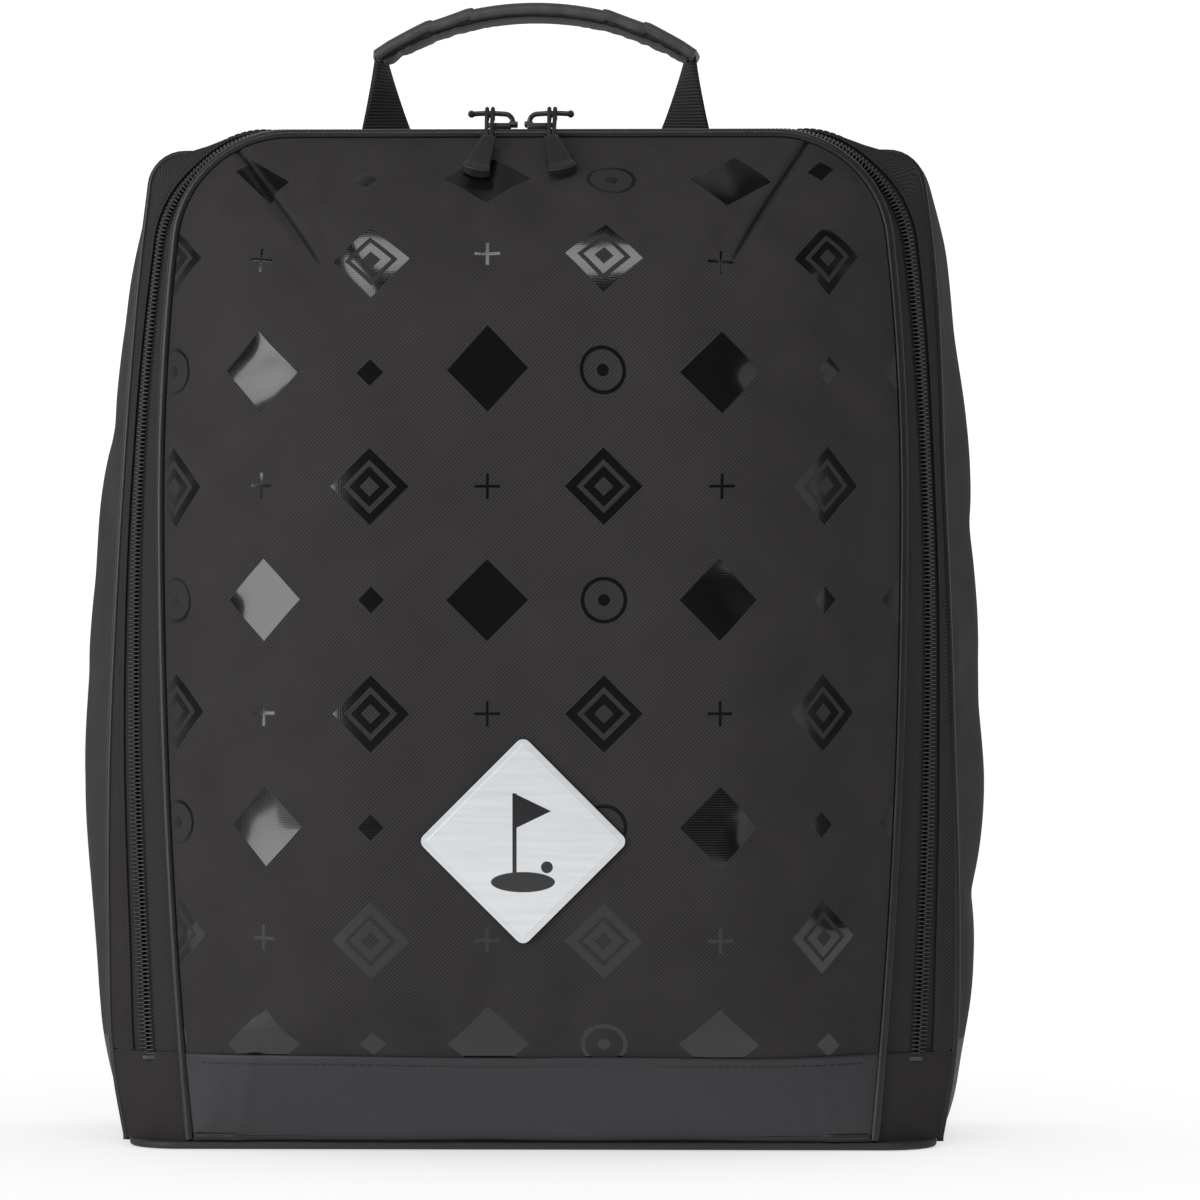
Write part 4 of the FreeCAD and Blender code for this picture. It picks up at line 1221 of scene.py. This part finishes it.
def caseSurface(t, ys, inward=0.0):
    # rows of points over the case at the places t, smooth through its outlines
    knots = np.array([case["front"], belly["back"], rear["back"], tail["back"]])
    values = np.array([np.stack(archPoints(arch, spots), axis=-1) - archNormals(arch, spots) * inward
                       for arch, spots in zip(stations, t)])
    slopes = np.gradient(values, knots, axis=0)
    grid = []
    for y in ys:
        k = int(np.clip(np.searchsorted(knots, y) - 1, 0, 2))
        width = knots[k + 1] - knots[k]
        s = (y - knots[k]) / width
        point = ((2 * s ** 3 - 3 * s ** 2 + 1) * values[k] + (s ** 3 - 2 * s ** 2 + s) * width * slopes[k]
                 + (3 * s ** 2 - 2 * s ** 3) * values[k + 1] + (s ** 3 - s ** 2) * width * slopes[k + 1])
        grid.append(np.stack([point[:, 0], np.full(len(point), y), point[:, 1]], axis=1))
    return np.array(grid).transpose(1, 0, 2)


def sidePlaces(arch, sign, split, rows, lowZ):
    start = placeAt(arch, lowZ)
    return evenPlaces(arch, sign * start, sign * split / arch["flat"], rows)


def sag(points, seed, size, amount):
    # slow unevenness of a soft wall, none at its edges
    rows, columns = points.shape[:2]
    fade = (np.minimum(1, np.minimum(np.arange(rows), np.arange(rows)[::-1])[:, None] / 5.0)
            * np.minimum(1, np.minimum(np.arange(columns), np.arange(columns)[::-1])[None] / 4.0))
    lift = np.array([[noise.noise(Vector(point) / size + Vector((seed, 0, 0))) for point in row] for row in points])
    return lift * fade * amount


def makeCase():
    ys = np.linspace(case["front"], tail["back"], case["columns"])
    for side, sign in bothSides:
        t = [sidePlaces(arch, sign, case["split"] + 0.05 * mm, case["sideRows"], floorZ + 0.4 * mm if arch is not tail
                        else tail["low"] + 0.2 * mm) for arch in stations]
        points = caseSurface(t, ys)
        normal = unit(np.cross(np.gradient(points, axis=0), np.gradient(points, axis=1)))
        normal = normal * np.sign((normal * (points - (0, 0.03, 0.18))).sum(axis=2, keepdims=True))
        points = points + normal * sag(points, 3.7 * sign, 0.045, 2.2 * mm)[..., None]
        panel = clothGrid(points, measured(points))
        outwardOf(panel)
        settle(panel, edgesOf(*points.shape[:2]), 1.0, grow=case["grow"], cap=case["cap"])
        thicken(panel, case["ply"], 1)
        finishPiece(panel, "sidePanel" + side.title(), sideTwill, "root",
                    ("side_panel_" + side, "side_foam_" + side), 60)
    half = case["split"] - 0.1 * mm
    t = [evenPlaces(arch, -half / arch["flat"], half / arch["flat"], case["topRows"]) for arch in stations]
    points = caseSurface(t, ys)
    points[..., 2] += sag(points, 9.1, 0.06, 0.8 * mm)
    top = facedSheet(points, case["ply"], 1)
    finishPiece(top, "topPanel", plainTwill, "root", ("top_panel", "top_foam"), 60)
    for side, sign in (("Left", -1), ("Right", 1)):
        t = [np.array([sign * case["split"] / arch["flat"]]) for arch in stations]
        line = caseSurface(t, np.linspace(case["front"], tail["back"], 60))[0]
        welt = sweep(line + (0, 0, 0.1 * mm), ringProfile(1.05 * mm, 10), side=(1, 0, 0))
        finishPiece(welt, "topWelt" + side, pipeLeather, "root", (), 60)


def makeBack():
    rows, columns = 64, 56
    x, z = archFill(tail, columns, rows, tail["low"] + 0.1 * mm, 0.2 * mm)
    middle = (tailLow.z + tailHigh.z) / 2
    crown = (1 - np.abs(x / tail["wide"]) ** 2.4) * (1 - np.abs((z - middle) / (tailHigh.z - middle)) ** 2.8)
    y = tail["back"] + 0.8 * mm + 3.4 * mm * np.clip(crown, 0, 1)
    points = np.stack([x, y, z], axis=-1)
    panel = clothGrid(points, np.stack([x, z], axis=-1))
    faceOut(panel, flip=True)
    settle(panel, edgesOf(rows, columns), 0.6, grow=0.010, cap=2.0 * mm)
    thicken(panel, case["ply"], 1)
    finishPiece(panel, "backPanel", backTwill, "root", ("back_panel", "back_foam"), 60)
    path = onPlane(tail, evenPlaces(tail, -3, 3, 300), tail["back"] + 0.7 * mm, -0.2 * mm)
    welt = sweep(path, ringProfile(1.25 * mm, 10))
    finishPiece(welt, "backWelt", pipeLeather, "root", (), 60)


makeCase()
makeBack()
print("case panels are made")

# base
base = {"round": 20 * mm, "edge": 1.3 * mm, "panelInset": 9 * mm, "sideInset": 3 * mm}


def makeBase():
    low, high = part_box("base_panel")
    shrink = Vector((base["sideInset"], 0, 0))
    slab = block(low + shrink, high - shrink)
    selectWhere(slab, "EDGE", lambda edge: edgeSpan(slab, edge, 2) > (high.z - low.z) * 0.9)
    bpy.ops.mesh.bevel(offset=base["round"], segments=14, affect="EDGES")
    selectWhere(slab, "FACE", lambda face: abs(face.normal.z) > 0.9)
    bpy.ops.mesh.bevel(offset=base["edge"], segments=3, affect="EDGES")
    selectWhere(slab, "FACE", lambda face: face.normal.z < -0.99)
    bpy.ops.mesh.inset(thickness=base["panelInset"], depth=0)
    bpy.ops.mesh.inset(thickness=0.6 * mm, depth=-0.5 * mm)
    bpy.ops.object.mode_set(mode="OBJECT")
    finishPiece(slab, "basePanel", baseSkin, "root", ("base_panel",), 40)


# leather turned from under the base up the foot of the back; its line is in mm, behind the tail and up
footBinding = {"ply": 0.9 * mm, "columns": 40, "inset": 1.5 * mm,
               "line": ((-16, 0.9), (-7, 1.1), (-1.5, 2.4), (0.7, 5.0), (1.0, 8.0), (0.9, 11.0))}


def makeFootBinding():
    half = float(archPoints(tail, 3)[0]) - footBinding["inset"]
    across = np.linspace(-half, half, footBinding["columns"])
    rows = [np.stack([across, np.full_like(across, tail["back"] + back * mm),
                      np.full_like(across, floorZ + (up - 1) * mm)], axis=1) for back, up in footBinding["line"]]
    binding = facedSheet(np.array(rows), footBinding["ply"], 1)
    finishPiece(binding, "backFootBinding", bandLeather, "root", (), 60)


makeBase()
makeFootBinding()

# inside: linings, base pad, patch and the flap's binding
inside = {"wall": 5.0 * mm, "ply": 0.6 * mm, "quilt": 42 * mm, "quiltDeep": 1.6 * mm, "back": 4.3 * mm}


def makeInside():
    ys = np.linspace(case["front"] + 0.4 * mm, tail["back"] - 4.4 * mm, 20)
    feet = [placeAt(arch, (tail["low"] if arch is tail else floorZ) + 1 * mm) for arch in stations]
    t = [evenPlaces(arch, -foot, foot, 150) for arch, foot in zip(stations, feet)]
    points = caseSurface(t, ys, inside["wall"])
    lift = sag(points, 5.0, 0.03, 1.0 * mm)
    middle = np.array((0, 0.03, 0.19))
    points = points + unit(middle - points) * (np.abs(lift)[..., None] * (1, 0, 1))
    lining = facedSheet(points, inside["ply"], 1)
    finishPiece(lining, "caseLining", innerLining, "root", ("case_lining",), 60)
    x, z = np.meshgrid(np.linspace(-0.135, 0.135, 60), np.linspace(0.004, 0.35, 72))
    side = np.array([float(archPoints(tail, placeAt(tail, float(height)))[0]) for height in z[:, 0]]) - 6.5 * mm
    x = x / 0.135 * side[:, None]
    wave = math.pi / inside["quilt"]
    quilt = np.abs(np.sin((x + z) * wave) * np.sin((x - z) * wave)) ** 0.5
    y = np.full_like(x, tail["back"] - inside["back"]) - quilt * inside["quiltDeep"]
    points = np.stack([x, y, z], axis=-1)
    backing = clothGrid(points, np.stack([x, z], axis=-1))
    thicken(backing, inside["ply"], 1)
    finishPiece(backing, "backLining", innerLining, "root", ("back_lining",), 60)
    low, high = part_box("base_board")[0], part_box("base_foam")[1]
    pad = block(low, high, 2.2 * mm, 3)
    finishPiece(pad, "basePad", foamSheet, "root", ("base_board", "base_foam"), 40)
    low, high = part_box("handle_patch")
    patch = block(low, high, 0.5 * mm, 2)
    finishPiece(patch, "handlePatch", bandLeather, "root", ("handle_patch",), 40)
    corners = insetCorners(low, high, 3 * mm)
    line = [(across, back, low.z - 0.05 * mm) for across, back in corners + corners[:1]]
    stitches(line, np.tile((0, 0, -1), (len(line), 1)), "patchStitches", "root")
    points = domePatch(50, 62, floorZ + 2.5 * mm, 5.2 * mm, 4.9 * mm)
    inner = clothGrid(points, clothPlace(points[..., 0], points[..., 2]))
    thicken(inner, inside["ply"], 1)
    finishPiece(inner, "flapLining", innerLining, None, ("front_lining", "band_lining", "band_foam"), 60)
    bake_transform(inner)
    foot = placeAt(ring, foldZ + 1 * mm)
    t = evenPlaces(ring, -foot, foot, 240)
    lowY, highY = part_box("flap_binding")[0].y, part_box("flap_binding")[1].y
    shape = [(-3.2, 0.0), (-4.1, 0.1), (-4.3, 0.5), (-4.3, 0.9), (-4.1, 1.0)]
    points = np.array([onPlane(ring, t, lowY + (highY - lowY) * share, grow * mm) for grow, share in shape])
    binding = facedSheet(points, 0.8 * mm)
    finishPiece(binding, "flapBinding", bindingTape, None, ("flap_binding",), 50)
    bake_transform(binding)


makeInside()
print("inside is made")

# badge
badgeShape = {"half": 37.5 * mm, "round": 3.0 * mm, "ply": 1.2 * mm, "edge": 0.45 * mm, "gap": 0.25 * mm}


def makeBadgePiece():
    low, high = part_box("badge")
    middle = ((low.x + high.x) / 2, (low.z + high.z) / 2)
    half = badgeShape["half"] / math.sqrt(2)
    plate = block((-half, -0.6 * mm, -half), (half, 0.6 * mm, half))
    selectWhere(plate, "EDGE", lambda edge: edgeSpan(plate, edge, 1) > 1 * mm)
    bpy.ops.mesh.bevel(offset=badgeShape["round"], segments=6, affect="EDGES")
    bpy.ops.mesh.select_all(action="SELECT")
    bpy.ops.mesh.quads_convert_to_tris()
    bpy.ops.object.mode_set(mode="OBJECT")
    place(plate, Matrix.Rotation(math.pi / 4, 4, "Y"))
    grid = 2.0 * mm
    for normal in ((1, 0, 0), (0, 0, 1)):
        for step in np.arange(-18, 19) * grid:
            editAll(plate)
            bpy.ops.mesh.bisect(plane_co=(normal[0] * step, 0, normal[2] * step), plane_no=normal)
            bpy.ops.object.mode_set(mode="OBJECT")
    points = coordsOf(plate)
    points[:, 0] += middle[0]
    points[:, 2] += middle[1]
    found = np.array([frontTree.ray_cast(Vector((x, -0.3, z)), Vector((0, 1, 0)))[0][1]
                      for x, z in points[:, [0, 2]]])
    across, up = (points[:, 0] - middle[0]) / half, (points[:, 2] - middle[1]) / half
    terms = np.stack([np.ones_like(up), across, up, across ** 2, across * up, up ** 2], axis=1)
    smooth = terms @ np.linalg.lstsq(terms, found, rcond=None)[0]
    smooth += (found - smooth).min() * 0.8
    points[:, 1] = smooth - badgeShape["gap"] - (0.6 * mm - points[:, 1]) * badgeShape["ply"] / (1.2 * mm)
    setCoords(plate, points)
    modify(plate, "BEVEL", width=badgeShape["edge"], segments=3, limit_method="ANGLE", angle_limit=math.radians(50))
    finishPiece(plate, "badge_plate", makeBadge(middle), "front_flap", ("badge",), 40)


makeBadgePiece()
print("badge is made")

# sliders, bails, cords and tabs
pull = {"lean": 37, "splay": 16, "topHalf": 2.5 * mm, "footHalf": 5.2 * mm, "long": 18 * mm, "thick": 3.4 * mm,
        "cord": 0.78 * mm, "spread": 2.1 * mm, "bar": 1.55 * mm, "forward": 17 * mm, "drop": 10.5 * mm,
        "neck": 0.9 * mm, "flare": 1.35}
bailShape = {"wire": 0.95 * mm, "knob": 1.5 * mm, "rise": 3.0 * mm, "bow": 0.25 * mm, "bar": 1.35 * mm,
             "barHalf": 2.4 * mm, "barEnds": (0.55, 0.85, 0.97, 1, 1, 1, 0.97, 0.85, 0.55)}


def makeSlider(side, sign):
    low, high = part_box("slider_" + side)
    middle = Vector(((low.x + high.x) / 2, (low.y + high.y) / 2, 0))
    plateTop = high.z - 0.7 * mm
    plateLow = plateTop - 1.2 * mm
    half = (high.x - low.x) / 2
    wide = (high.y - low.y) / 2
    parts = [block((-half, -wide, plateLow), (half, wide, plateTop), 0.5 * mm, 3)]
    points = coordsOf(parts[0])
    outer = np.clip(points[:, 0] * sign / half, -1, 1)
    points[:, 1] *= 1 - 0.26 * np.clip(outer, 0, 1) ** 2 - 0.08 * np.clip(-outer, 0, 1) ** 2
    points[:, 2] += (1 - (points[:, 1] / wide) ** 2) * 0.25 * mm * (points[:, 2] > plateLow + 0.6 * mm)
    setCoords(parts[0], points)
    for edge in (-1, 1):
        parts.append(block((-half * 0.8, edge * wide * 0.95 - 0.28 * mm, plateLow - 1.25 * mm),
                           (half * 0.55, edge * wide * 0.95 + 0.28 * mm, plateLow + 0.4 * mm), 0.2 * mm, 2))
    parts.append(block((-half, -wide, low.z), (half, 0.3 * mm, low.z + 1.1 * mm), 0.35 * mm, 2))
    parts.append(block((-sign * half * 0.2 - 1.0 * mm, -0.3 * mm, low.z + 0.4 * mm),
                       (-sign * half * 0.2 + 1.0 * mm, 0.3 * mm, plateLow + 0.3 * mm), 0.1 * mm, 1))
    lugX = -sign * (half - 1.6 * mm)
    for edge in (-1, 1):
        parts.append(block((lugX - 1.6 * mm, edge * 1.6 * mm - 0.5 * mm, plateTop - 0.3 * mm),
                           (lugX + 1.6 * mm, edge * 1.6 * mm + 0.5 * mm, high.z + 0.1 * mm), 0.35 * mm, 3))
    slider = joined(parts)
    place(slider, Matrix.Translation(middle))
    finishPiece(slider, "slider" + side.title(), blackEnamel, "slider_" + side,
                ("slider_" + side,), 40)


def makeBail(side, sign):
    low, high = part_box("pull_bail_" + side)
    y = (low.y + high.y) / 2
    radius, knob, rise = bailShape["wire"], bailShape["knob"], bailShape["rise"]
    start = low.x + radius if sign > 0 else high.x - radius
    end = (high.x - knob) if sign > 0 else (low.x + knob)
    barZ = high.z - knob
    arc = [(start + sign * rise * (1 - math.cos(angle)), y, barZ - rise + rise * math.sin(angle))
           for angle in np.linspace(0, math.pi / 2, 12)]
    run = [(start + sign * (rise + (abs(end - start) - rise) * share), y,
            barZ + bailShape["bow"] * math.sin(share * math.pi)) for share in np.linspace(0, 1, 16)[1:]]
    path = np.array(arc + run)
    widths = 1 + 0.25 * np.clip(np.linspace(-0.6, 1, len(path)), 0, 1)
    wire = sweep(path, ringProfile(radius, 14), scales=np.stack([widths, np.ones(len(path))], axis=1))
    reach = bailShape["barHalf"]
    bar = sweep([(end, y - reach + 2 * reach * share, barZ) for share in np.linspace(0, 1, 9)],
                ringProfile(bailShape["bar"], 14), side=(1, 0, 0),
                scales=[(scale, scale) for scale in bailShape["barEnds"]])
    bail = joined([wire, bar])
    finishPiece(bail, "bail" + side.title(), blackEnamel, "bail_" + side, ("pull_bail_" + side,), 50)
    return end, y, barZ


def smoothLine(points, count):
    # a NURBS line through the neighbourhood of given points
    curve = bpy.data.curves.new("route", "CURVE")
    curve.dimensions = "3D"
    spline = curve.splines.new("NURBS")
    spline.points.add(len(points) - 1)
    for target, point in zip(spline.points, points):
        target.co = (*point, 1)
    spline.order_u = 3
    spline.use_endpoint_u = True
    curve.resolution_u = 12
    holder = bpy.data.objects.new("route", curve)
    mesh = bpy.data.meshes.new_from_object(holder)
    line = np.array([vertex.co for vertex in mesh.vertices])
    bpy.data.objects.remove(holder)
    length = np.concatenate([[0], np.cumsum(np.linalg.norm(np.diff(line, axis=0), axis=1))])
    even = np.linspace(0, length[-1], count)
    return np.stack([np.interp(even, length, line[:, axis]) for axis in range(3)], axis=1)


def makePull(side, sign):
    end, y, barZ = makeBail(side, sign)
    middle = (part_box("pull_cord_" + side)[0].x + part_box("pull_cord_" + side)[1].x) / 2
    r = pull["bar"]
    halfGap = pull["spread"] / 2
    foot = (0, -pull["forward"] + 1.0 * mm, -pull["drop"] + 0.6 * mm)
    route = [(-halfGap * 0.7, foot[1], foot[2]), (-halfGap * 0.9, -r - 8.0 * mm, -5.0 * mm),
             (-halfGap, -r - 1.8 * mm, -0.4 * mm), (-halfGap, -r * 0.9, r * 1.0), (-halfGap, 0.2 * mm, r * 1.35),
             (-halfGap, r * 1.2, r * 0.7), (-halfGap, r * 1.2, -r * 0.8), (-halfGap, 0, -r * 1.45),
             (-halfGap * 0.9, -r * 1.8, -r * 1.2), (-halfGap * 0.4, -r * 2.3, -r * 0.2)]
    route = route + [(-x, back, up) for x, back, up in reversed(route)]
    line = smoothLine(route, 110) + (middle, y, barZ)
    lead = unit(np.cross(np.gradient(line, axis=0), (0.3, 0.9, 0.2)))
    cordPiece = sweep(line, ringProfile(pull["cord"], 10), side=lead)
    finishPiece(cordPiece, "pullCord" + side.title(), braidedCord, "pull_" + side,
                ("pull_cord_" + side,), 60)
    tab = block((-1, -1, -1), (1, 1, 1))
    editAll(tab)
    bpy.ops.mesh.subdivide(number_cuts=7)
    bpy.ops.object.mode_set(mode="OBJECT")
    points = coordsOf(tab)
    down = (1 - points[:, 2]) / 2                       # 0 at the neck, 1 at the foot
    half = pull["topHalf"] + (pull["footHalf"] - pull["topHalf"]) * down ** pull["flare"]
    waist = 1 - 0.10 * np.exp(-((down - 0.72) / 0.06) ** 2)
    thick = pull["thick"] / 2 * (0.75 + 0.55 * down ** 2) * (1 - 0.34 * np.exp(-((down - 0.72) / 0.06) ** 2))
    bow = 1 - 0.22 * np.abs(points[:, 0]) ** 2
    x = points[:, 0] * half * waist
    depth = points[:, 1] * thick * bow
    z = pull["neck"] - pull["long"] * down + 1.2 * mm * points[:, 0] ** 2 * down
    setCoords(tab, np.stack([x, depth, z], axis=1))
    modify(tab, "BEVEL", width=0.9 * mm, segments=3, limit_method="ANGLE", angle_limit=math.radians(50))
    turn = Matrix.Rotation(math.radians(-pull["lean"]), 4, "X") @ Matrix.Rotation(
        math.radians(-pull["splay"] * sign), 4, "Y")
    anchor = Matrix.Translation((middle, y - pull["forward"], barZ - pull["drop"]))
    place(tab, anchor @ turn)
    finishPiece(tab, "pullTab" + side.title(), tabLeather, "pull_" + side, ("pull_tab_" + side,), 60)
    out = (turn @ Vector((0, -1, 0))).to_tuple()
    for edge, row in ((-1, "A"), (1, "B")):
        line = []
        for down in np.linspace(0.12, 0.62, 8):
            aside = pull["topHalf"] - 0.9 * mm + (pull["footHalf"] - pull["topHalf"]) * down ** pull["flare"]
            deep = -pull["thick"] / 2 * (0.75 + 0.55 * down * down) * 0.9
            spot = anchor @ turn @ Vector((edge * aside, deep, pull["neck"] - pull["long"] * down))
            line.append(tuple(spot))
        stitches(line, np.tile(out, (len(line), 1)), "tabStitches" + side.title() + row, "pull_" + side, 2.4 * mm)


for side, sign in bothSides:
    makeSlider(side, sign)
    makePull(side, sign)
print("pulls are made")

# handle
grip = {"radius": 114 * mm, "half": 61 * mm, "width": 30 * mm, "cover": 4.4 * mm, "under": 2.4 * mm, "steps": 160}


def arcLine(centreZ, radius, reach, count, y):
    angles = np.linspace(-reach, reach, count)
    return np.stack([np.sin(angles) * radius, np.full(count, y), centreZ + np.cos(angles) * radius], axis=1), angles


def makeHandle():
    coverLow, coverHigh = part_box("grip_cover")
    y = (coverLow.y + coverHigh.y) / 2
    centreZ = coverHigh.z - grip["radius"]
    reach = math.asin(grip["half"] / grip["radius"])
    line, angles = arcLine(centreZ, grip["radius"] - grip["cover"] / 2, reach, grip["steps"], y)
    share = angles / reach
    across = line[:, 0] / mm
    edges = (-61, -39, -24, 26, 41, 61)                   # the cover is lapped, and each lap ends in a small step
    k = np.clip(np.searchsorted(edges, across) - 1, 0, 4)
    along = (across - np.take(edges, k)) / (np.take(edges, k + 1) - np.take(edges, k))
    inward = np.where(across < 0, along, 1 - along)
    laps = np.where(k == 2, 0, inward * 0.9 - 1.6 * along * (1 - along)) * mm
    line[:, 2] += laps
    ripple = np.array([noise.noise(Vector((s * 9, 4.0, 0))) for s in share]) * 0.05
    profile = slabProfile(grip["width"], grip["cover"], 2.0 * mm, 6)
    cover = sweep(line, profile, scales=np.stack([0.97 + ripple, 1.03 + ripple], axis=1))
    points = coordsOf(cover)
    aside = (points[:, 1] - y) / (grip["width"] / 2)
    droop = np.clip(np.abs(aside) - 0.35, 0, 1) ** 2 * 4.2 * mm            # the cover's long edges curl down
    points[:, 2] -= droop
    slant = np.clip(np.abs(points[:, 0]) / grip["half"] - 0.9, 0, 1) * 10  # the ends are cut on a slant
    points[:, 0] += np.sign(points[:, 0]) * slant * (aside * 0.9 * mm)
    setCoords(cover, points)
    finishPiece(cover, "gripCover", gripLeather, "handle", ("grip_cover",), 50)
    under, angles = arcLine(centreZ, grip["radius"] - grip["cover"] - grip["under"] / 2 + 0.6 * mm, reach * 0.985,
                            grip["steps"] * 2, y)
    share = angles / reach
    wrinkles = np.array([noise.noise(Vector((s * 26, 1.7, 0))) for s in share])
    tall = 1 + 0.22 * wrinkles * (np.abs(share) > 0.25) + 0.35 * np.clip(np.abs(share) - 0.55, 0, 1)
    belt = sweep(under, slabProfile(grip["width"] * 0.9, grip["under"], 1.1 * mm, 6),
                 scales=np.stack([0.98 + 0.03 * wrinkles, tall], axis=1))
    points = coordsOf(belt)
    lift = np.array([noise.noise(Vector((point[0] * 330 + point[1] * 150, point[1] * 90, 2.0))) for point in points])
    lift = lift * np.clip(np.abs(points[:, 0]) / grip["half"] - 0.2, 0, 1) * 1.2 * mm
    points[:, 2] += lift
    setCoords(belt, points)
    finishPiece(belt, "gripUnderlay", wornLeather, "handle", ("grip_underlay", "grip_core"), 60)
    for side, sign in bothSides:
        low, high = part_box("webbing_leg_" + side)
        middle = (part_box("handle_anchor_" + side)[0].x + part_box("handle_anchor_" + side)[1].x) / 2
        rise = np.linspace(0, 1, 60)
        foot = abs(middle) + 2.0 * mm
        top = centreZ + math.sqrt((grip["radius"] - grip["cover"] * 0.7) ** 2 - foot ** 2)
        path = np.stack([middle + sign * 2.0 * mm * rise, np.full(60, y), low.z + (top - low.z) * rise], axis=1)
        turns = sign * np.arccos(1 - 0.90 * rise)
        narrow = np.stack([1 - 0.22 * rise, 1 + 0.4 * rise], axis=1)
        leg = sweep(path, slabProfile(20 * mm, 1.7 * mm, 0.6 * mm, 4), side=(1, 0, 0), turns=turns, scales=narrow)
        finishPiece(leg, "webbingLeg" + side.title(), ribbedWebbing, None,
                    ("webbing_leg_" + side,), 50)
        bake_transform(leg)
        low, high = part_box("handle_anchor_" + side)
        columns, rows = 12, 18
        x, back = np.meshgrid(np.linspace(low.x, high.x, columns), np.linspace(low.y, high.y, rows))
        lift = high.z + 0.25 * mm * np.sin((x - low.x) / (high.x - low.x) * math.pi)
        points = np.stack([x, back, lift], axis=-1)
        anchor = clothGrid(points, measured(points))
        thicken(anchor, high.z - low.z - 0.1 * mm, 1)
        modify(anchor, "BEVEL", width=0.4 * mm, segments=2, limit_method="ANGLE", angle_limit=math.radians(50))
        finishPiece(anchor, "handleAnchor" + side.title(), ribbedWebbing, "root",
                    ("handle_anchor_" + side,), 50)
        corners = insetCorners(low, high, 2.5 * mm)
        loop = corners + [corners[0], corners[2]]
        line = [(across, back, high.z + 0.3 * mm) for across, back in loop]
        stitches(line, np.tile((0, 0, 1), (len(line), 1)), "anchorStitches" + side.title(), "root", 2.4 * mm)


makeHandle()
print("handle is made")

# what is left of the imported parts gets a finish
finishes = {"foam": foamSheet, "twill": plainTwill, "leather": bandLeather, "lining": innerLining,
            "piping": pipeLeather, "webbing": ribbedWebbing}
slots = {part["node"]: part["material_slot"] for part in frame["record"]["subparts"]}
for name, node in frame["nodes"].items():
    if not node.hide_render:
        print("shown as packed:", name)
        node.data.materials.clear()
        node.data.materials.append(finishes.get(slots[name], foamSheet))
